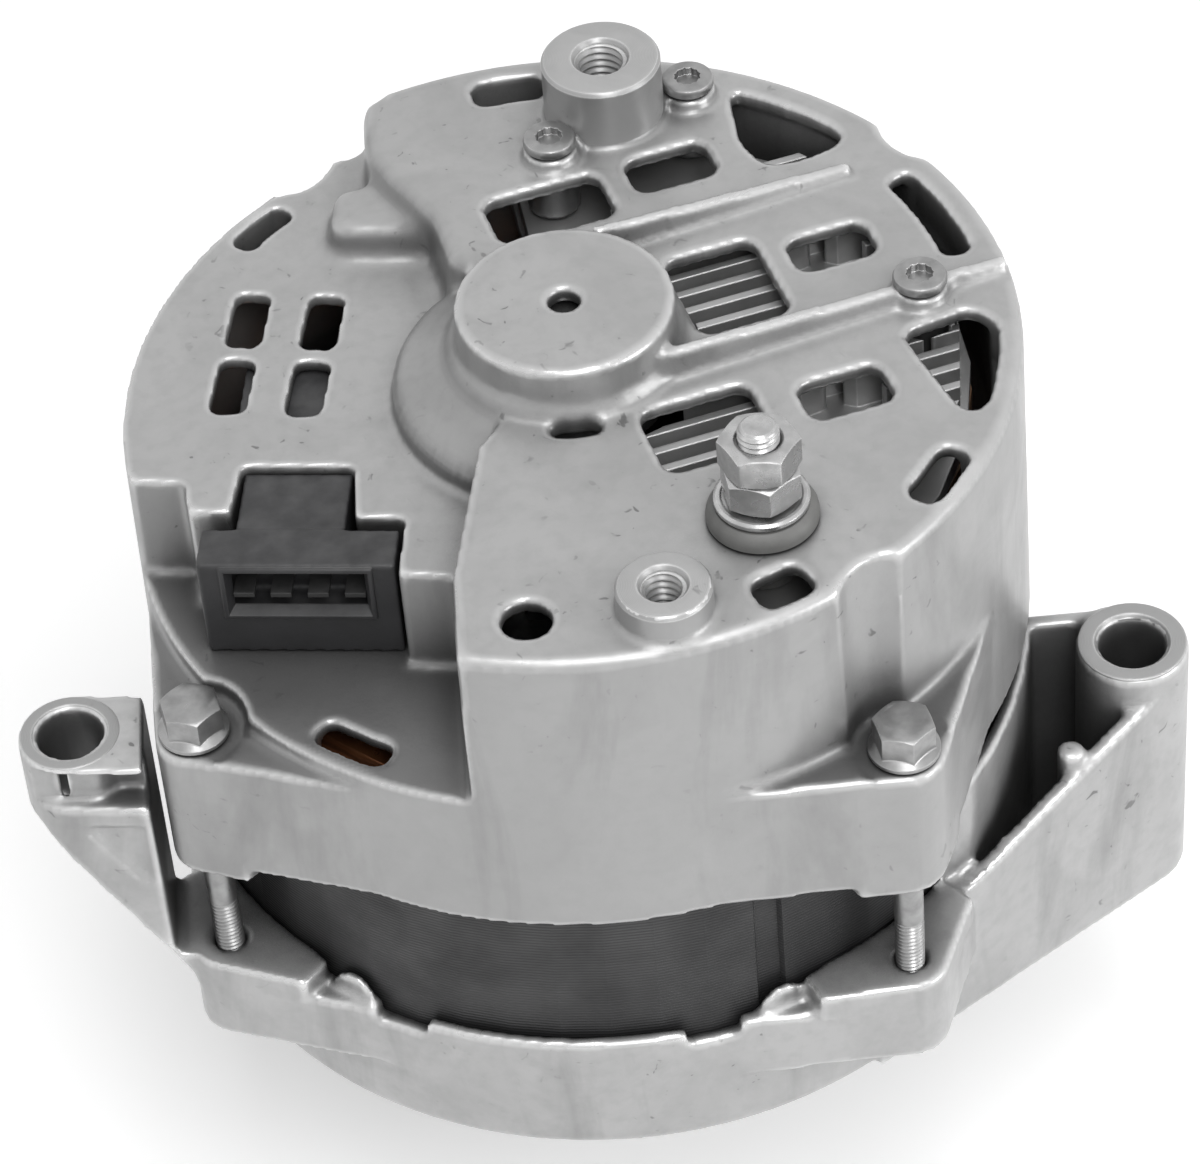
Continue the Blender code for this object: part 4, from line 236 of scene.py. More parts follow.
def put_out(group, ends_out, **values):
    for label, value in values.items():
        group.links.new(value, ends_out.inputs[label])


def spread(tree, value, low, high, to_low=0.0, to_high=1.0):
    """A value stretched from one range to another and kept inside it."""
    return add_node(tree, "ShaderNodeMapRange", {
        "Value": value, "From Min": low, "From Max": high, "To Min": to_low, "To Max": to_high,
    }).outputs["Result"]


def object_place(tree):
    return add_node(tree, "ShaderNodeTexCoord").outputs["Object"]


def surface_value(tree, name="Normal"):
    """What the surface itself says at a point, such as its normal."""
    return add_node(tree, "ShaderNodeNewGeometry").outputs[name]


def upward_part(tree, name="Normal"):
    """1 where a surface looks up, 0 on a wall, -1 where it looks down."""
    return add_node(tree, "ShaderNodeSeparateXYZ", {0: surface_value(tree, name)}).outputs["Z"]


def noise(tree, vector, scale, detail, **more):
    inputs = {"Vector": vector, "Scale": scale, "Detail": detail, **more}
    return add_node(tree, "ShaderNodeTexNoise", inputs).outputs["Fac"]


edge_wear, ends_in, ends_out = new_group(
    "edge_wear", {"Radius": 0.0004, "Gain": 6.0}, {"Edge": VALUE, "Normal": VECTOR})
rolled = add_node(edge_wear, "ShaderNodeBevel", {"Radius": ends_in.outputs["Radius"]},
                  samples=4).outputs[0]
lean = add_node(edge_wear, "ShaderNodeVectorMath", {0: rolled, 1: surface_value(edge_wear)},
                operation="DOT_PRODUCT").outputs["Value"]
short = arithmetic(edge_wear, "SUBTRACT", 1.0, lean)
mask = add_node(edge_wear, "ShaderNodeMath", {0: short, 1: ends_in.outputs["Gain"]},
                operation="MULTIPLY", use_clamp=True).outputs[0]
put_out(edge_wear, ends_out, Edge=mask, Normal=rolled)

cast_grain, ends_in, ends_out = new_group(
    "cast_grain", {"Grain": 1500.0, "Cloud": 55.0, "Pit": 420.0},
    {"Height": VALUE, "Stain": VALUE, "Pits": VALUE})
spot = object_place(cast_grain)
fine = noise(cast_grain, spot, ends_in.outputs["Grain"], 3.0)
cloud = noise(cast_grain, spot, ends_in.outputs["Cloud"], 5.0, Roughness=0.62, Distortion=0.6)
wide = noise(cast_grain, spot, 23.0, 3.0)
pit = noise(cast_grain, spot, ends_in.outputs["Pit"], 2.0, Distortion=0.8)
small = spread(cast_grain, pit, 0.68, 0.74)
sparse = spread(cast_grain, wide, 0.46, 0.62)
put_out(cast_grain, ends_out, Height=fine, Stain=spread(cast_grain, cloud, 0.40, 0.68),
        Pits=arithmetic(cast_grain, "MULTIPLY", small, sparse))

dust, ends_in, ends_out = new_group("dust", {"Amount": 0.4}, {"Dust": VALUE})
speck = noise(dust, object_place(dust), 260.0, 4.0)
upward = spread(dust, upward_part(dust), 0.2, 1.0)
loose = arithmetic(dust, "MULTIPLY", upward, spread(dust, speck, 0.35, 0.7))
put_out(dust, ends_out, Dust=arithmetic(dust, "MULTIPLY", loose, ends_in.outputs["Amount"]))

streaks_and_shade, ends_in, ends_out = new_group(
    "streaks_and_painted_shade", {"Reach": 0.010}, {"Wall": VALUE, "Streak": VALUE, "Recess": VALUE})
# The wall mask places the streaks, and it is also painted shade that darkens upright walls.
lean = arithmetic(streaks_and_shade, "ABSOLUTE", upward_part(streaks_and_shade, "True Normal"), 0.0)
wall = spread(streaks_and_shade, lean, 0.80, 0.35)
drawn = add_node(streaks_and_shade, "ShaderNodeMapping",
                 {"Vector": object_place(streaks_and_shade), "Scale": (1.0, 1.0, 0.22)}).outputs[0]
streaks = noise(streaks_and_shade, drawn, 62.0, 5.0, Roughness=0.6, Distortion=0.5)
streak = arithmetic(streaks_and_shade, "MULTIPLY", spread(streaks_and_shade, streaks, 0.52, 0.72), wall)
# Painted shade: how closed in a point is becomes a mask that darkens corners and pockets.
closed_in = add_node(streaks_and_shade, "ShaderNodeAmbientOcclusion", {"Distance": ends_in.outputs["Reach"]},
                     samples=6).outputs["AO"]
put_out(streaks_and_shade, ends_out, Wall=wall, Streak=streak, Recess=spread(streaks_and_shade, closed_in, 0.80, 0.38))
print("effects", len(bpy.data.node_groups))

# %% [markdown]
# Each finish is one material. A small helper opens it with its own shader, places the shared
# effects with the finish's own numbers, and mixes colours by their masks. The numbers that
# are the same all over stay on the shader itself.

# %% Helpers for finishes
class Finish:
    """A material under construction."""

    def __init__(self, name, metallic, roughness):
        self.material = bpy.data.materials.new(name)
        self.material.use_nodes = True
        self.tree = self.material.node_tree
        self.tree.nodes.clear()
        self.shader = add_node(self.tree, "ShaderNodeBsdfPrincipled",
                               {"Metallic": metallic, "Roughness": roughness})
        add_node(self.tree, "ShaderNodeOutputMaterial", {"Surface": self.shader.outputs[0]})

    def effect(self, group, **values):
        return add_node(self.tree, "ShaderNodeGroup", values, node_tree=group).outputs

    def mix(self, amount, first, second):
        """One colour over another by a mask. A colour is three numbers or a socket."""
        made = self.tree.nodes.new("ShaderNodeMix")
        made.data_type = "RGBA"
        for key, value in ((0, amount), (6, first), (7, second)):
            if isinstance(value, bpy.types.NodeSocket):
                self.tree.links.new(value, made.inputs[key])
            else:
                made.inputs[key].default_value = value if key == 0 else (*value, 1.0)
        return made.outputs[2]

    def spread(self, value, low, high, to_low=0.0, to_high=1.0):
        return spread(self.tree, value, low, high, to_low, to_high)

    def product(self, first, second):
        return arithmetic(self.tree, "MULTIPLY", first, second)

    def noise(self, scale, detail, vector=None):
        return noise(self.tree, vector or object_place(self.tree), scale, detail)

    def wave(self, vector, scale, distortion, detail, **settings):
        inputs = {"Vector": vector, "Scale": scale, "Distortion": distortion, "Detail": detail}
        return add_node(self.tree, "ShaderNodeTexWave", inputs, **settings)

    def bump(self, height, distance, strength=1.0, normal=None):
        inputs = {"Height": height, "Distance": distance, "Strength": strength}
        if normal is not None:
            inputs["Normal"] = normal
        self.feed("Normal", add_node(self.tree, "ShaderNodeBump", inputs).outputs[0])

    def feed(self, socket, value):
        self.tree.links.new(value, self.shader.inputs[socket])


def grey(level):
    return (level, level, level)


print("finish helper ready")

# %% [markdown]
# Die-cast aluminium is a dull light grey with a fine skin. Where it rolls over an edge it is
# painted bright, partly rubbed metal and partly a painted highlight; cloudy stains lie on its
# walls, and a few pits show as dark specks. The same finish serves both end frames, whose dense
# meshes let Pointiness find their edges. Painted shade darkens the low shelf and the walls
# below the vented plate.

# %% Cast aluminium
CAST_GREY = 0.45
CAST_STAIN = 0.33
# The wall grey is painted shade: upright walls come out darker than faces that look up.
CAST_WALL_SHADE = 0.38
CAST_STREAK = 0.20
# The bright grey is a painted highlight on edges, together with rubbed wear.
CAST_EDGE_WEAR_AND_HIGHLIGHT = 0.80
CAST_PIT = 0.10
# The next two greys are painted shade: one for corners and pockets, one for the shelf and step
# walls.
CAST_POCKET_SHADE = 0.05
CAST_SHELF_SHADE = 0.12
SHELF_LEVEL = 0.12496
DECK_LEVEL = 0.1436
PLATE_TOP = 0.15296


def shelf_and_wall_shade_mask(finish):
    """Painted shade on the low shelf, and on the walls between the deck and the plate."""
    x, y, z = add_node(finish.tree, "ShaderNodeSeparateXYZ", {0: object_place(finish.tree)}).outputs
    upward = upward_part(finish.tree)
    reach = arithmetic(finish.tree, "ADD", finish.product(x, x), finish.product(y, y))
    inside = finish.spread(reach, 0.0580 ** 2, 0.0610 ** 2, 1.0, 0.0)
    above_deck = finish.spread(z, DECK_LEVEL - 0.0010, DECK_LEVEL + 0.0010)
    below_hub = finish.spread(z, PLATE_TOP, PLATE_TOP + 0.0015, 1.0, 0.0)
    steep = finish.product(inside, finish.spread(upward, 0.75, 0.98, 0.5, 0.0))
    walls = finish.product(finish.product(above_deck, below_hub), steep)
    low = finish.spread(z, SHELF_LEVEL + 0.0010, SHELF_LEVEL + 0.0050, 0.8, 0.0)
    shelf = finish.product(low, finish.spread(upward, 0.5, 0.9))
    return arithmetic(finish.tree, "MAXIMUM", walls, shelf)


def cast_finish(name, reach, closed, fresh=1.0, shaded_shelf=False):
    """Cast skin. Painted shade darkens pockets within this reach by closed, and fresh lifts the
    bare metal.
    """
    finish = Finish(name, 0.45, 0.33)
    grain = finish.effect(cast_grain)
    streak_and_shade_masks = finish.effect(streaks_and_shade, Reach=reach)
    # Painted shade: upright walls take the darker wall grey.
    cast = finish.mix(streak_and_shade_masks["Wall"], grey(CAST_GREY * fresh), grey(CAST_WALL_SHADE * fresh))
    cast = finish.mix(finish.product(grain["Stain"], 0.45), cast, grey(CAST_STAIN))
    mottle = finish.spread(finish.noise(420.0, 4.0), 0.45, 0.75, 0.0, 0.35)
    cast = finish.mix(mottle, cast, grey(CAST_STAIN))
    cast = finish.mix(finish.product(streak_and_shade_masks["Streak"], 0.55), cast, grey(CAST_STREAK))
    cast = finish.mix(finish.product(grain["Pits"], 0.7), cast, grey(CAST_PIT))
    if shaded_shelf:
        # Painted shade on the low shelf and on the walls between the deck and the plate.
        cast = finish.mix(shelf_and_wall_shade_mask(finish), cast, grey(CAST_SHELF_SHADE))
    # Painted highlight with rubbed wear: Pointiness makes rolled edges bright.
    edge = finish.spread(surface_value(finish.tree, "Pointiness"), 0.51, 0.56, 0.0, 0.8)
    cast = finish.mix(edge, cast, grey(CAST_EDGE_WEAR_AND_HIGHLIGHT))
    # Painted shade: corners and pockets darken by how closed in they are.
    cast = finish.mix(finish.product(streak_and_shade_masks["Recess"], closed), cast, grey(CAST_POCKET_SHADE))
    finish.feed("Base Color", cast)
    skin = finish.spread(grain["Stain"], 0.0, 1.0, 0.31, 0.44)
    finish.feed("Roughness", arithmetic(finish.tree, "SUBTRACT", skin, finish.product(edge, 0.10)))
    finish.bump(grain["Height"], 0.00004, 0.5)
    return finish.material


cast_aluminium = cast_finish("die_cast_aluminium", 0.013, 0.9, shaded_shelf=True)
# The drive end's pockets get painted shade over a wider reach.
pocket_shaded_aluminium = cast_finish("die_cast_aluminium_with_painted_pocket_shade", 0.020, 0.9, 1.22)
print("made", cast_aluminium.name, pocket_shaded_aluminium.name)

# %% [markdown]
# A boss that a bolt pulls against is faced on a lathe, which leaves fine rings round its
# centre. A Wave texture in rings does this, and a Mapping node brings its centre to the boss.

# %% Faced aluminium
LATHE_LINES = 1400.0


def faced_finish(name, centre, top=0.42):
    finish = Finish(name, 0.42, 0.34)
    to_centre = (-centre[0], -centre[1], 0.0)
    mapped = add_node(finish.tree, "ShaderNodeMapping",
                      {"Vector": object_place(finish.tree), "Location": to_centre})
    rings = finish.wave(mapped.outputs[0], LATHE_LINES, 0.4, 1.0,
                        wave_type="RINGS", rings_direction="Z").outputs["Fac"]
    grain = finish.effect(cast_grain, Cloud=120.0)
    wear = finish.effect(edge_wear, Radius=0.0005)
    upward = finish.spread(upward_part(finish.tree), 0.55, 0.85)
    cut = finish.product(rings, upward)
    metal = finish.mix(upward, grey(0.34), grey(top))
    metal = finish.mix(finish.product(grain["Stain"], 0.45), metal, grey(0.30))
    metal = finish.mix(finish.product(cut, 0.25), metal, grey(0.66))
    metal = finish.mix(finish.product(grain["Pits"], 0.5), metal, grey(0.1))
    finish.feed("Base Color", finish.mix(wear["Edge"], metal, grey(0.85)))
    finish.feed("Roughness", finish.spread(grain["Stain"], 0.0, 1.0, 0.30, 0.42))
    finish.bump(cut, 0.00001, 0.4, wear["Normal"])
    return finish.material


print("faced finish ready")

# %% [markdown]
# Bolts, nuts and washers are zinc plated steel: brighter and smoother than the casting, with
# a faint mottle in the plating and edges that catch the light.

# %% Zinc plated steel
def plated_finish(name, level, roughness):
    finish = Finish(name, 0.9, roughness)
    mottle = finish.noise(380.0, 4.0)
    wear = finish.effect(edge_wear, Radius=0.00025)
    body = finish.mix(finish.spread(mottle, 0.35, 0.7), grey(level), grey(level * 0.72))
    finish.feed("Base Color", finish.mix(wear["Edge"], body, grey(min(0.92, level * 1.35))))
    finish.feed("Roughness", finish.spread(mottle, 0.3, 0.7, roughness * 0.8, roughness * 1.35))
    finish.bump(finish.noise(2600.0, 2.0), 0.00001, 0.4, wear["Normal"])
    return finish.material


zinc_steel = plated_finish("zinc_plated_steel", 0.52, 0.27)
bolt_steel = plated_finish("dull_zinc_on_bolts", 0.36, 0.33)
bearing_steel = plated_finish("ground_bearing_steel", 0.56, 0.18)
pole_steel = plated_finish("forged_pole_steel", 0.20, 0.50)
print("made", zinc_steel.name, bearing_steel.name, pole_steel.name)

# %% [markdown]
# The stator is a stack of thin sheets, so its side is covered with fine level lines. The lines
# are a Wave texture in bands along the rotor's axis, under a dark varnish that is duller in
# patches and worn to bare steel on a few sheet edges.

# %% Laminations
SHEET_PITCH = 0.0006


def lamination_finish():
    finish = Finish("varnished_laminations", 0.35, 0.45)
    place = object_place(finish.tree)
    sheets = finish.wave(place, math.tau / (20.0 * SHEET_PITCH), 0.3, 2.0,
                         wave_type="BANDS", bands_direction="Z")
    sheets.inputs["Detail Scale"].default_value = 3.0
    bands = sheets.outputs["Fac"]
    patch = finish.noise(90.0, 4.0, place)
    body = finish.mix(finish.spread(patch, 0.35, 0.7),
                      (0.034, 0.034, 0.035), (0.020, 0.020, 0.021))
    lined = finish.mix(finish.spread(bands, 0.75, 1.0, 0.0, 0.5), body, grey(0.075))
    finish.feed("Base Color", lined)
    finish.feed("Roughness", finish.spread(patch, 0.3, 0.7, 0.34, 0.62))
    finish.bump(bands, 0.00006, 0.7)
    return finish.material


lamination_steel = lamination_finish()
print("made", lamination_steel.name)

# %% [markdown]
# The moulded pieces are glass-filled plastic with a fine spark-eroded texture and a little
# dust on what faces up. The brown insulation, the carbon of the brushes, black paint and the
# tarnish on the connector's blades differ only in colour, sheen and coarseness.

# %% Moulded plastic, insulation, carbon and paint
def moulded_finish(name, colour, worn, roughness, grain_scale=2200.0):
    finish = Finish(name, 0.0, roughness)
    wear = finish.effect(edge_wear, Radius=0.0003)
    lint = finish.effect(dust, Amount=0.10)
    shade = finish.noise(140.0, 4.0)
    body = finish.mix(finish.spread(shade, 0.35, 0.7), colour, tuple(c * 0.65 for c in colour))
    rubbed = finish.mix(finish.product(wear["Edge"], 0.6), body, worn)
    finish.feed("Base Color", finish.mix(lint["Dust"], rubbed, grey(0.35)))
    finish.feed("Roughness", finish.spread(shade, 0.3, 0.7, roughness * 0.85, roughness * 1.25))
    finish.bump(finish.noise(grain_scale, 2.0), 0.00003, 0.5, wear["Normal"])
    return finish.material


black_plastic = moulded_finish("black_moulded_plastic", (0.032, 0.032, 0.034), grey(0.09), 0.46)
grey_insulation = moulded_finish("grey_moulded_collar", (0.17, 0.17, 0.165), grey(0.27), 0.50)
tarnished = moulded_finish("dark_tarnished_tin", grey(0.030), grey(0.06), 0.55)
brown_insulation = moulded_finish("brown_moulded_insulation",
                                  (0.20, 0.11, 0.06), (0.30, 0.19, 0.12), 0.60)
carbon = moulded_finish("pressed_carbon", (0.045, 0.045, 0.050), grey(0.10), 0.70, 3600.0)
painted_steel = moulded_finish("black_painted_steel",
                               (0.035, 0.035, 0.038), grey(0.16), 0.42, 900.0)
print("made", black_plastic.name, brown_insulation.name)

# %% [markdown]
# The windings are round copper wire laid side by side and soaked in varnish. Fine bands that
# follow the wire, with painted shade in the grooves between wires and a clear coat on top,
# read as wire through the vents.

# %% Varnished copper
def copper_finish():
    finish = Finish("varnished_copper_wire", 0.75, 0.34)
    place = object_place(finish.tree)
    strands = finish.wave(place, 260.0, 1.2, 2.0,
                          wave_type="BANDS", bands_direction="Z").outputs["Fac"]
    patch = finish.noise(120.0, 3.0, place)
    body = finish.mix(finish.spread(patch, 0.35, 0.7), (0.42, 0.17, 0.075), (0.20, 0.075, 0.035))
    # Painted shade: the grooves between the wires are darker.
    grooves = finish.spread(strands, 0.0, 0.45, 0.6, 0.0)
    finish.feed("Base Color", finish.mix(grooves, body, (0.06, 0.022, 0.012)))
    finish.feed("Roughness", finish.spread(patch, 0.3, 0.7, 0.26, 0.42))
    finish.shader.inputs["Coat Weight"].default_value = 0.5
    finish.bump(strands, 0.00012, 0.8)
    return finish.material


copper = copper_finish()
print("made", copper.name)

# %% [markdown]
# The record says which finish each node has. A node whose shape is right keeps its mesh and
# only takes the better material in its slots.

# %% Dress the nodes that keep their shape
plain_cast = Finish("sawn_and_cast_aluminium", 0.7, 0.40)
grain = plain_cast.effect(cast_grain, Cloud=90.0)
wear = plain_cast.effect(edge_wear, Radius=0.0004)
shaded = plain_cast.mix(plain_cast.product(grain["Stain"], 0.5), grey(0.44), grey(0.30))
plain_cast.feed("Base Color", plain_cast.mix(wear["Edge"], shaded, grey(0.75)))
plain_cast.bump(grain["Height"], 0.00004, 0.5, wear["Normal"])
FINISHES = {
    "cast_aluminium": plain_cast.material, "zinc_steel": zinc_steel,
    "bearing_steel": bearing_steel, "pole_steel": pole_steel,
    "lamination_steel": lamination_steel, "copper": copper, "black_plastic": black_plastic,
    "brown_insulation": brown_insulation, "carbon": carbon, "painted_steel": painted_steel,
}
slot_names = {part["node"]: part["material_slot"] for part in frame["record"]["subparts"]}
for name, node in nodes.items():
    for holder in node.material_slots:
        blade = name.startswith("connector_blade")
        holder.material = tarnished if blade else FINISHES[slot_names[name]]
print("dressed", len(slot_names), "nodes")

# %% [markdown]
# Modelling goes as by hand: everything is let go, a primitive is added, and edit mode shapes
# it. A turned piece starts as one ring of points that is extruded from level to level of its
# profile, as a turner would follow a drawing.

# %% Helpers for modelling
ROUND = 72


def let_go():
    if bpy.context.mode != "OBJECT":
        bpy.ops.object.mode_set(mode="OBJECT")
    bpy.ops.object.select_all(action="DESELECT")


def take(piece):
    """Only this piece is selected and active."""
    let_go()
    piece.select_set(True)
    bpy.context.view_layer.objects.active = piece


def use_modifier(piece, kind, **settings):
    """Adds a modifier with its settings and applies it."""
    take(piece)
    modifier = piece.modifiers.new(kind.lower(), kind)
    for name, value in settings.items():
        setattr(modifier, name, value)
    bpy.ops.object.modifier_apply(modifier=modifier.name)


def apply_place(piece):
    """Puts a piece's place, turn and scale into its mesh."""
    take(piece)
    bpy.ops.object.transform_apply(location=True, rotation=True, scale=True)
    return piece


def settle_down(piece, name, angle=30.0):
    """Names a piece, applies its place and shades it smooth between its edges."""
    apply_place(piece)
    bpy.ops.object.shade_smooth_by_angle(angle=math.radians(angle))
    piece.name = name
    piece.data.name = name
    return piece


def close_up(fill):
    """Merges an edited mesh's doubles, fills its open ends if asked and turns it outwards."""
    bpy.ops.mesh.select_all(action="SELECT")
    bpy.ops.mesh.remove_doubles(threshold=0.000002)
    if fill:
        bpy.ops.mesh.select_all(action="SELECT")
        bpy.ops.mesh.fill_holes(sides=0)
    bpy.ops.mesh.select_all(action="SELECT")
    bpy.ops.mesh.normals_make_consistent(inside=False)
    bpy.ops.object.mode_set(mode="OBJECT")


def turned(profile, centre=(0.0, 0.0), steps=ROUND, ring=True):
    """A turned piece from (radius, level) pairs. A ring closes on itself, another is capped."""
    let_go()
    x, y = centre
    radius, level = profile[0]
    bpy.ops.mesh.primitive_circle_add(vertices=steps, radius=radius, fill_type="NOTHING",
                                      location=(x, y, level))
    piece = bpy.context.active_object
    bpy.ops.object.mode_set(mode="EDIT")
    bpy.ops.mesh.select_all(action="SELECT")
    for next_radius, next_level in profile[1:] + (profile[:1] if ring else []):
        rise = (0.0, 0.0, next_level - level)
        bpy.ops.mesh.extrude_edges_move(TRANSFORM_OT_translate={"value": rise})
        ratio = next_radius / radius
        if abs(ratio - 1.0) > 1e-9:
            bpy.ops.transform.resize(value=(ratio, ratio, 1.0), center_override=(x, y, next_level))
        radius, level = next_radius, next_level
    close_up(fill=not ring)
    return piece


def solid_turned(profile, centre=(0.0, 0.0), steps=48):
    return turned(profile, centre, steps, ring=False)


def six_sided(centre, radius, middle, depth, turn):
    """An upright bar of six flats."""
    let_go()
    bpy.ops.mesh.primitive_cylinder_add(vertices=6, radius=radius, depth=depth,
                                        location=(*centre, middle),
                                        rotation=(0.0, 0.0, math.radians(turn)))
    return apply_place(bpy.context.active_object)


def join_pieces(pieces):
    """Closed pieces of one part in one object."""
    let_go()
    for piece in pieces:
        piece.select_set(True)
    bpy.context.view_layer.objects.active = pieces[0]
    bpy.ops.object.join()
    return bpy.context.active_object


def boolean(piece, operation, tool):
    """Joins or cuts a piece with a tool, which is then thrown away."""
    use_modifier(piece, "BOOLEAN", operation=operation, object=tool, solver="EXACT")
    bpy.data.objects.remove(tool, do_unlink=True)
    return piece


def dress(piece, material, body, slot, *replaced):
    """Gives a finished piece its finish, its body and the nodes it stands for."""
    piece.data.materials.clear()
    piece.data.materials.append(material)
    for face in piece.data.polygons:
        face.material_index = 0
    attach(piece, body)
    if replaced:
        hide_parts(*replaced)
    print(piece.name, len(piece.data.polygons), "faces")
    return piece


print("modelling helpers ready")

# %% [markdown]
# A cut thread is one tooth carried round the rod in a helix. A plane's four corners become the
# tooth's flanks, the Screw modifier winds them, and the two ends are closed.

# %% Threads
def threaded(centre, crest, root, low, high, pitch, steps=24):
    """A threaded rod, or with the crest inside the root the core of a tapped hole."""
    let_go()
    turns = int(round((high - low) / pitch))
    bpy.ops.mesh.primitive_plane_add(size=pitch, location=(0.0, 0.0, 0.0))
    rod = bpy.context.active_object
    bpy.ops.object.mode_set(mode="EDIT")
    mesh = bmesh.from_edit_mesh(rod.data)
    for face in list(mesh.faces):
        mesh.faces.remove(face)
    corners = list(mesh.verts)
    chain = [corners[0], corners[1], corners[3], corners[2]]
    for edge in [edge for edge in mesh.edges if set(edge.verts) == {chain[0], chain[3]}]:
        mesh.edges.remove(edge)
    tooth = ((root, 0.0), (crest, 0.42), (crest, 0.58), (root, 1.0))
    for vertex, (radius, share) in zip(chain, tooth):
        vertex.co = (radius, 0.0, share * pitch)
    bmesh.update_edit_mesh(rod.data)
    bpy.ops.object.mode_set(mode="OBJECT")
    use_modifier(rod, "SCREW", axis="Z", angle=math.tau, screw_offset=pitch, iterations=turns - 1,
                 steps=steps, render_steps=steps, use_normal_calculate=True, use_smooth_shade=False)
    rod.location = (centre[0], centre[1], low)
    apply_place(rod)
    bpy.ops.object.mode_set(mode="EDIT")
    close_up(fill=True)
    return rod


print("thread helper ready")

# %% [markdown]
# A hexagon on a nut or a bolt is a six-sided bar whose corners are turned off at a slant. The
# bar is a cylinder of six points, and what it shares with a chamfered disc is the nut.

# %% Hexagons
def hexagon(centre, flats, low, high, turn, chamfer_low=False, bore=0.0):
    """A bolt's head, or a nut where it has a bore. Its top is always chamfered."""
    corner = flats / math.sqrt(3.0)
    bar = six_sided(centre, corner, (low + high) / 2.0, high - low, turn)
    drop = (corner - flats / 2.0) * 0.62
    inner, outer = flats / 2.0 * 0.985, corner * 1.002
    margin = 0.0004
    profile = [(inner, low), (outer, low + drop)] if chamfer_low else [(outer, low - margin)]
    profile += [(outer, high - drop), (inner, high)]
    boolean(bar, "INTERSECT", solid_turned(profile, centre))
    if bore:
        sink = bore * 1.16
        bore_profile = [(sink + margin, low - margin), (bore, low + sink - bore),
                        (bore, high - sink + bore), (sink + margin, high + margin)]
        boolean(bar, "DIFFERENCE", solid_turned(bore_profile, centre))
    return bar


print("hexagon helper ready")

# %% [markdown]
# The two end frames are castings, and nothing on a casting is sharp. A copy of each node is
# merged, remeshed in steps of a little over half a millimetre and relaxed, which rounds every
# edge and fills every corner as a mould does. The grid is thinned only after it has been
# relaxed, so the steps of the grid don't stay in the slanted edges. The remesh would keep the
# flats of the turned walls, so each point is then drawn out to the true circle it belongs to.

# %% Cast skins
VOXEL = 0.00066
MOST_TRIANGLES = 198000
TURNED_FACETS = 54


def true_circle(points, centre, facets, keep):
    """Draws points out to a circle where a wall was turned in flats."""
    half = math.pi / facets
    offset = points[:, :2] - np.array(centre)
    angle = np.arctan2(offset[:, 1], offset[:, 0]) % (2.0 * half) - half
    factor = np.where(keep, np.cos(angle) / math.cos(half), 1.0)
    points[:, :2] = np.array(centre) + offset * factor[:, None]
    return points


def read_points(piece):
    points = np.empty(len(piece.data.vertices) * 3)
    piece.data.vertices.foreach_get("co", points)
    return points.reshape(-1, 3)


def write_points(piece, points):
    piece.data.vertices.foreach_set("co", points.ravel())
    piece.data.update()


def soften(piece, weights, rounds):
    """Relaxes some of a piece's points more than the rest, which rolls its corners wider there."""
    edges = np.empty(len(piece.data.edges) * 2, dtype=np.int32)
    piece.data.edges.foreach_get("vertices", edges)
    ends = np.concatenate((edges[::2], edges[1::2]))
    starts = np.concatenate((edges[1::2], edges[::2]))
    near = weights > 0.0
    busy = near[starts]
    starts, ends = starts[busy], ends[busy]
    points = read_points(piece)
    count = np.maximum(np.bincount(starts, minlength=len(points)), 1)
    for _ in range(rounds):
        for axis in range(3):
            total = np.bincount(starts, weights=points[ends, axis], minlength=len(points))
            move = total / count - points[:, axis]
            points[:, axis] += np.where(near, weights * 0.6 * move, 0.0)
    write_points(piece, points)


def distance_to_path(points, path):
    """How far each point lies, in plan, from a line of corners."""
    best = np.full(len(points), 1.0)
    for start, stop in zip(path[:-1], path[1:]):
        start, along = np.array(start), np.array(stop) - np.array(start)
        share = np.clip((points[:, :2] - start) @ along / (along @ along), 0.0, 1.0)
        gap = points[:, :2] - start - share[:, None] * along
        best = np.minimum(best, np.linalg.norm(gap, axis=1))
    return best


def merged_copy(node_name, name):
    """A node's mesh as a new piece, its loose triangles merged into closed shells."""
    mesh = bpy.data.meshes.new_from_object(nodes[node_name])
    piece = bpy.data.objects.new(name, mesh)
    scene.collection.objects.link(piece)
    take(piece)
    bpy.ops.object.mode_set(mode="EDIT")
    bpy.ops.mesh.select_all(action="SELECT")
    bpy.ops.mesh.remove_doubles(threshold=0.000004)
    bpy.ops.object.mode_set(mode="OBJECT")
    return piece


def cast_skin(node_name, name, voxel=VOXEL, relax=5, soft_place=None, soft_rounds=0):
    """A remeshed and relaxed copy. A soft place is a function that weighs its points."""
    piece = merged_copy(node_name, name)
    use_modifier(piece, "REMESH", mode="VOXEL", voxel_size=voxel)
    use_modifier(piece, "SMOOTH", factor=0.5, iterations=relax)
    if soft_place:
        soften(piece, soft_place(read_points(piece)), soft_rounds)
    triangles = 2 * len(piece.data.polygons)
    print(name, "triangles", triangles)
    if triangles > MOST_TRIANGLES:
        use_modifier(piece, "DECIMATE", ratio=MOST_TRIANGLES / triangles)
    return piece


AXIS = (0.0, 0.0)
HUB_FACETS = 30
COLLAR_REACH = 0.0272
SLIP_WALL_REACH = 0.0580
DRIVE_CUP_REACH = 0.0720
STEP_WALL = [(-0.0283, 0.0680), (-0.0283, 0.0470), (-0.0250, 0.0400), (-0.0188, 0.0305),
             (-0.0168, 0.0205)]
STEP_ROUNDS = 26
KNOB_CENTRE = (-0.0262, 0.0385)


def fade(distance, full, none):
    return np.clip((none - distance) / (none - full), 0.0, 1.0)


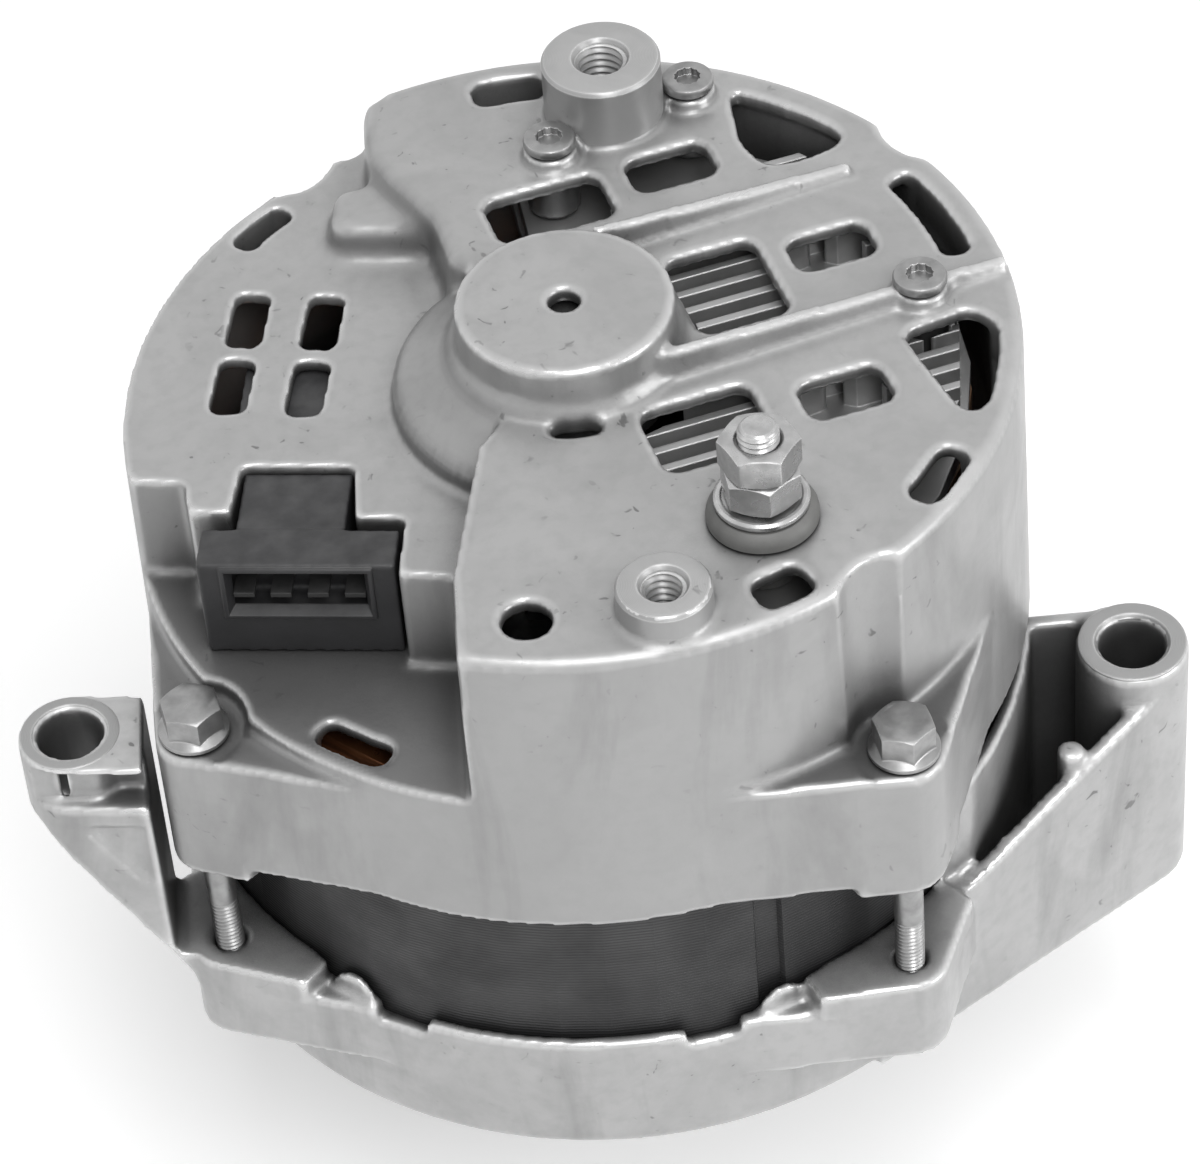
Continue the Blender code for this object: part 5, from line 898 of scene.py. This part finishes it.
def step_and_knob(points):
    """The step at the back and the knob beside it are rolled over much wider than the rest."""
    high = (points[:, 2] > DECK_LEVEL - 0.0008) & (points[:, 2] < PLATE_TOP + 0.0005)
    step = fade(distance_to_path(points, STEP_WALL), 0.0025, 0.0042)
    knob = fade(np.linalg.norm(points[:, :2] - np.array(KNOB_CENTRE), axis=1), 0.0100, 0.0120)
    return np.where(high, np.maximum(step, knob), 0.0)


slip_casting = cast_skin("slip_ring_end_frame", "slip_ring_end_casting",
                         soft_place=step_and_knob, soft_rounds=STEP_ROUNDS)
points = read_points(slip_casting)
reach = np.hypot(points[:, 0], points[:, 1])
near_hub = (reach < COLLAR_REACH) & (points[:, 2] > DECK_LEVEL)
points = true_circle(points, AXIS, HUB_FACETS, near_hub)
points = true_circle(points, AXIS, TURNED_FACETS, reach > SLIP_WALL_REACH)
write_points(slip_casting, points)
settle_down(slip_casting, "slip_ring_end_casting", 80.0)
dress(slip_casting, cast_aluminium, "housing", "cast_aluminium", "slip_ring_end_frame")

drive_casting = cast_skin("drive_end_frame", "drive_end_casting")
points = read_points(drive_casting)
reach = np.hypot(points[:, 0], points[:, 1])
points = true_circle(points, AXIS, TURNED_FACETS, reach < DRIVE_CUP_REACH)
write_points(drive_casting, points)
settle_down(drive_casting, "drive_end_casting", 80.0)
dress(drive_casting, pocket_shaded_aluminium, "housing", "cast_aluminium", "drive_end_frame")

# %% [markdown]
# Four long bolts draw the two end frames together over the stator. Each has a small hexagon on
# a flange, a plain shank and a thread that starts where the shank shows between the frames.
# One is modelled, and the others are copies that are moved to their places.

# %% Through bolts
BOLT_PITCH = 0.0008
BOLT_RADIUS = 0.00220
THREAD_LENGTH = 0.0232
HEAD_FLATS = 0.0080
HEAD_HEIGHT = 0.0056
FLANGE_RADIUS = 0.0052
FLANGE_THICKNESS = 0.0012


def node_middle(name):
    """A node's centre in plan, and its lowest and highest level."""
    low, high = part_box(name)
    return ((low.x + high.x) / 2.0, (low.y + high.y) / 2.0), low.z, high.z


bolt_centre, bolt_low, bolt_high = node_middle("through_bolt_1")
seat = bolt_high - HEAD_HEIGHT
thread_top = bolt_low + THREAD_LENGTH
head = hexagon(bolt_centre, HEAD_FLATS, seat + FLANGE_THICKNESS - 0.0002, bolt_high, 12.0)
flange = solid_turned([(FLANGE_RADIUS - 0.0002, seat), (FLANGE_RADIUS, seat + 0.0002),
                       (FLANGE_RADIUS, seat + 0.0008),
                       (FLANGE_RADIUS - 0.0006, seat + FLANGE_THICKNESS),
                       (0.0040, seat + 0.0016), (0.0030, seat + 0.0017)], bolt_centre)
shank = solid_turned([(0.00215, thread_top - 0.0004), (BOLT_RADIUS, thread_top),
                      (BOLT_RADIUS, seat + 0.0005)], bolt_centre, 32)
thread = threaded(bolt_centre, BOLT_RADIUS, 0.00180, bolt_low, thread_top, BOLT_PITCH)
first_bolt = join_pieces([head, flange, shank, thread])
settle_down(first_bolt, "through_bolt_with_thread_1")
bolts = [first_bolt]
for i in range(2, 5):
    centre, _, _ = node_middle(f"through_bolt_{i}")
    aside = (centre[0] - bolt_centre[0], centre[1] - bolt_centre[1], 0.0)
    mesh = first_bolt.data.copy()
    mesh.transform(Matrix.Translation(aside))
    copy = bpy.data.objects.new(f"through_bolt_with_thread_{i}", mesh)
    scene.collection.objects.link(copy)
    bolts.append(copy)
for i, bolt in enumerate(bolts, 1):
    dress(bolt, bolt_steel, "housing", "zinc_steel", f"through_bolt_{i}")

# %% [markdown]
# The battery stud comes up through an insulating collar. A washer and a nut hold it, and a
# second nut takes the cable, with a little thread standing out above it.

# %% Battery terminal
STUD_PITCH = 0.0010
STUD_RADIUS = 0.0030
stud_centre, stud_low, stud_high = node_middle("battery_stud")
stud_bottom = solid_turned([(0.0026, stud_low), (STUD_RADIUS, stud_low + 0.0004),
                            (STUD_RADIUS, stud_high - 0.0155)], stud_centre, 40)
stud_thread = threaded(stud_centre, STUD_RADIUS, 0.00252, stud_high - 0.0160,
                       stud_high - 0.0004, STUD_PITCH)
stud_tip = solid_turned([(0.00262, stud_high - 0.0016), (0.00262, stud_high - 0.0003),
                         (0.00225, stud_high)], stud_centre, 40)
stud = settle_down(join_pieces([stud_bottom, stud_thread, stud_tip]), "battery_stud_with_thread")
dress(stud, zinc_steel, "housing", "zinc_steel", "battery_stud")

TERMINAL_FLATS = 0.0102
for node_name, name, turn in (("battery_stud_nut", "lower_terminal_nut", 8.0),
                              ("battery_cable_nut", "upper_terminal_nut", 26.0)):
    _, low, high = node_middle(node_name)
    nut = hexagon(stud_centre, TERMINAL_FLATS, low, high, turn, True, STUD_RADIUS + 0.00005)
    settle_down(nut, name)
    dress(nut, zinc_steel, "housing", "zinc_steel", node_name)

_, low, high = node_middle("battery_terminal_washer")
STUD_HOLE = 0.0033
WASHER_RADIUS = 0.0068
washer = turned([(STUD_HOLE, low), (WASHER_RADIUS - 0.0002, low), (WASHER_RADIUS, low + 0.0003),
                 (WASHER_RADIUS, high - 0.0003), (WASHER_RADIUS - 0.0004, high), (0.0059, high),
                 (0.0056, high - 0.0002), (STUD_HOLE, high - 0.0002)], stud_centre)
settle_down(washer, "terminal_washer_ring")
dress(washer, zinc_steel, "housing", "zinc_steel", "battery_terminal_washer")

_, low, high = node_middle("battery_stud_insulator")
COLLAR_RADIUS = 0.0080
SLEEVE_RADIUS = 0.0047
collar_foot = high - 0.0027
collar = turned([(STUD_HOLE, high), (0.0068, high), (COLLAR_RADIUS - 0.0006, high - 0.0004),
                 (COLLAR_RADIUS - 0.0001, high - 0.0012), (COLLAR_RADIUS, high - 0.0018),
                 (COLLAR_RADIUS, collar_foot + 0.0002), (COLLAR_RADIUS - 0.0003, collar_foot),
                 (SLEEVE_RADIUS, collar_foot), (SLEEVE_RADIUS, low), (STUD_HOLE, low)],
                stud_centre)
settle_down(collar, "terminal_insulating_collar")
dress(collar, grey_insulation, "housing", "black_plastic", "battery_stud_insulator")

# %% [markdown]
# The two tapped bosses take the screws of a bracket. A faced ring lies over each boss, with a
# small chamfer outside. The thread is a sleeve in the hole, cut by the same helix as the bolts.

# %% Tapped bosses and faced rings
def tapped_boss(name, centre, radius, top, foot, bottom, hole, crest, pitch=0.00125):
    """A boss with a faced top and a blind hole, whose thread is cut from hole in to crest."""
    rim = 0.0005
    face = top + 0.00008
    outer = turned([(radius + 0.0005, foot), (radius + 0.00015, foot + 0.0006),
                    (radius + 0.00010, top - 0.0006), (radius - 0.0003, top - 0.0001),
                    (radius - 0.0008, face), (crest + rim + 0.0006, face),
                    (crest + rim + 0.0001, top - 0.0005), (crest + rim + 0.0001, top - 0.0010),
                    (hole + 0.0006, top - 0.0010), (hole + 0.0006, foot)], centre, 80)
    low = bottom + 0.0003
    turns = int((top - 0.0003 - low) / pitch)
    core = threaded(centre, crest + rim, crest, low - pitch, low + (turns + 1) * pitch, pitch, 32)
    sleeve = solid_turned([(hole + 0.0003, low), (hole + 0.0003, top - 0.0009)], centre, 64)
    boolean(sleeve, "DIFFERENCE", core)
    return settle_down(join_pieces([outer, sleeve]), name)


rear_boss_centre = (0.0088, 0.0515)
front_boss_centre = (0.0100, -0.0569)
REAR_TOP, FRONT_TOP = 0.16346, 0.15776
HOLE_DEPTH = 0.0112
BOSS_FOOT = PLATE_TOP - 0.0002
rear_boss = tapped_boss("rear_tapped_boss", rear_boss_centre, 0.0090, REAR_TOP, BOSS_FOOT,
                        REAR_TOP - HOLE_DEPTH, 0.00425, 0.0034)
dress(rear_boss, faced_finish("faced_rear_boss", rear_boss_centre), "housing", "cast_aluminium")
front_boss = tapped_boss("front_tapped_boss", front_boss_centre, 0.0067, FRONT_TOP, BOSS_FOOT,
                         FRONT_TOP - HOLE_DEPTH, 0.0035, 0.0026)
dress(front_boss, faced_finish("faced_front_boss", front_boss_centre), "housing", "cast_aluminium")

# %% [markdown]
# Three small screws hold the rectifier under the plate. Each has a broad round head that ends
# flush with its boss, and a socket for a star key, which is cut with a six-pointed tool.

# %% Rectifier screws
HEAD_RADIUS = 0.0040
KEY_RADIUS = 0.0021
KEY_DEPTH = 0.0026
for i in range(1, 4):
    centre, low, high = node_middle(f"rectifier_screw_{i}")
    underside = high - 0.0016
    shaft = solid_turned([(0.0014, low), (0.0017, low + 0.0004), (0.0017, underside + 0.0002)],
                         centre, 24)
    head = solid_turned([(HEAD_RADIUS - 0.0002, underside), (HEAD_RADIUS, underside + 0.0002),
                         (HEAD_RADIUS, high - 0.0006), (HEAD_RADIUS - 0.0002, high - 0.0002),
                         (HEAD_RADIUS - 0.0006, high)], centre)
    for turn in (0.0, 30.0):
        key = six_sided(centre, KEY_RADIUS, high, KEY_DEPTH, turn + 10.0 * i)
        boolean(head, "DIFFERENCE", key)
    screw = settle_down(join_pieces([head, shaft]), f"rectifier_screw_with_socket_{i}")
    dress(screw, bolt_steel, "housing", "zinc_steel", f"rectifier_screw_{i}")

# %% [markdown]
# The plug's socket is part of the regulator's black moulding. A remeshed copy softens its
# corners, and a frame with sloping inner sides is set into the mouth, as a funnel for the plug.

# %% Regulator moulding and socket frame
MOULDING_TURN = math.radians(-7.6)
SOCKET_LEFT, SOCKET_RIGHT = -0.0479, -0.0264
SOCKET_FRONT = -0.0362
SOCKET_TOP = DECK_LEVEL - 0.0009 - 0.0010
SOCKET_LOW = SOCKET_TOP - 0.0092
LIP = 0.0007
SLOPE = 0.0009
MOULDING_VOXEL = 0.00036


def upright_box(middle, size):
    let_go()
    bpy.ops.mesh.primitive_cube_add(size=1.0, location=middle, scale=size)
    return apply_place(bpy.context.active_object)


moulding = cast_skin("voltage_regulator", "regulator_moulding", MOULDING_VOXEL, 2)
middle = ((SOCKET_LEFT + SOCKET_RIGHT) / 2.0, SOCKET_FRONT + 0.0004,
          (SOCKET_LOW + SOCKET_TOP) / 2.0)
width, height = SOCKET_RIGHT - SOCKET_LEFT + 0.0008, SOCKET_TOP - SOCKET_LOW + 0.0008
mouth = upright_box(middle, (width, 0.0018, height))
use_modifier(mouth, "BEVEL", width=0.00025, segments=2, limit_method="ANGLE")
funnel = upright_box(middle, (width, 0.0020, height))
points = read_points(funnel)
border = np.where(points[:, 1] < middle[1], LIP, LIP + SLOPE)
for axis in (0, 2):
    points[:, axis] -= np.sign(points[:, axis] - middle[axis]) * border
write_points(funnel, points)
boolean(mouth, "DIFFERENCE", funnel)
mouth.data.transform(Matrix.Rotation(MOULDING_TURN, 4, "Z"))
moulding = settle_down(join_pieces([moulding, mouth]), "regulator_moulding_with_socket", 50.0)
dress(moulding, black_plastic, "housing", "black_plastic", "voltage_regulator")

# %% [markdown]
# The mounting foot and the adjusting ear are faced where a bracket bears on them. A thin ring
# with a chamfered bore lies on each, and shows the lathe's rings.

# %% Faced rings on the foot and the ear
FOOT_HOLE, FOOT_TOP = (0.0809, -0.0154), 0.09566
EAR_HOLE, EAR_TOP = (-0.0771, -0.0357), 0.11756


def faced_ring(name, centre, top, outer, bore):
    face = top + 0.00010
    ring = turned([(outer - 0.0004, top - 0.0006), (outer - 0.0004, top), (outer - 0.0007, face),
                   (bore + 0.0007, face), (bore + 0.0001, top - 0.0006)], centre, 80)
    settle_down(ring, name)
    dull_face = faced_finish(name + "_finish", centre, top=0.33)
    return dress(ring, dull_face, "housing", "cast_aluminium")


faced_ring("faced_ring_on_foot", FOOT_HOLE, FOOT_TOP, 0.0086, 0.00515)
faced_ring("faced_ring_on_ear", EAR_HOLE, EAR_TOP, 0.0077, 0.0049)

# %% [markdown]
# A small coil spring pushes each brush on to its slip ring. It is soft. Each is a merged copy
# of its node, shaded smooth with a mesh of its own, and its point furthest along the slide is
# found. A rigid spring would stand in the brush when that is back.

# %% Brush springs
SLIDE = (-0.991216, 0.132256, 0.0)
for level in ("lower", "upper"):
    spring = merged_copy(level + "_brush_spring", level + "_brush_coil_spring")
    bpy.ops.object.shade_smooth_by_angle(angle=math.radians(50.0))
    points = read_points(spring)
    along = points @ np.array(SLIDE)
    end = tuple(points[along.argmax()].tolist())
    dress(spring, zinc_steel, "housing", "zinc_steel", level + "_brush_spring")
    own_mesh(spring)

# %% [markdown]
# A ribbed belt runs in six grooves on the pulley. The profile is followed ring by ring, with
# flat crests, rounded roots and a recess in the lower face.

# %% Pulley and its nut
pulley_low, pulley_high = (corner.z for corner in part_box("drive_pulley"))
RIM = 0.0300
GROOVES = 6
GROOVE_DEPTH = 0.0025
GROOVE_PITCH = 0.00356
END_LAND = 0.0006
BORE, HUB, WEB = 0.0093, 0.0145, 0.0248
RECESS = 0.0095
outline = [(BORE, pulley_low), (HUB - 0.0005, pulley_low), (HUB, pulley_low + 0.0005),
           (HUB, pulley_low + RECESS - 0.0005), (HUB + 0.0005, pulley_low + RECESS),
           (WEB - 0.0005, pulley_low + RECESS), (WEB, pulley_low + RECESS - 0.0005),
           (WEB, pulley_low + 0.0004), (WEB + 0.0004, pulley_low), (RIM - 0.0004, pulley_low),
           (RIM, pulley_low + 0.0003)]
groove = ((0.10, 0.0), (0.42, 0.93), (0.50, 1.0), (0.58, 0.93), (0.90, 0.0))
for i in range(GROOVES):
    start = pulley_low + END_LAND + i * GROOVE_PITCH
    outline += [(RIM - GROOVE_DEPTH * depth, start + GROOVE_PITCH * share)
                for share, depth in groove]
outline += [(RIM, pulley_high - 0.0003), (RIM - 0.0004, pulley_high), (BORE, pulley_high)]
pulley = settle_down(turned(outline, AXIS, 128), "ribbed_belt_pulley")
dress(pulley, zinc_steel, "rotor", "zinc_steel", "drive_pulley")

_, low, high = node_middle("pulley_nut")
PULLEY_NUT_FLATS = 0.0240
nut = hexagon(AXIS, PULLEY_NUT_FLATS, low, high, 0.0, True, 0.0081)
settle_down(nut, "chamfered_pulley_nut")
dress(nut, zinc_steel, "rotor", "zinc_steel", "pulley_nut")
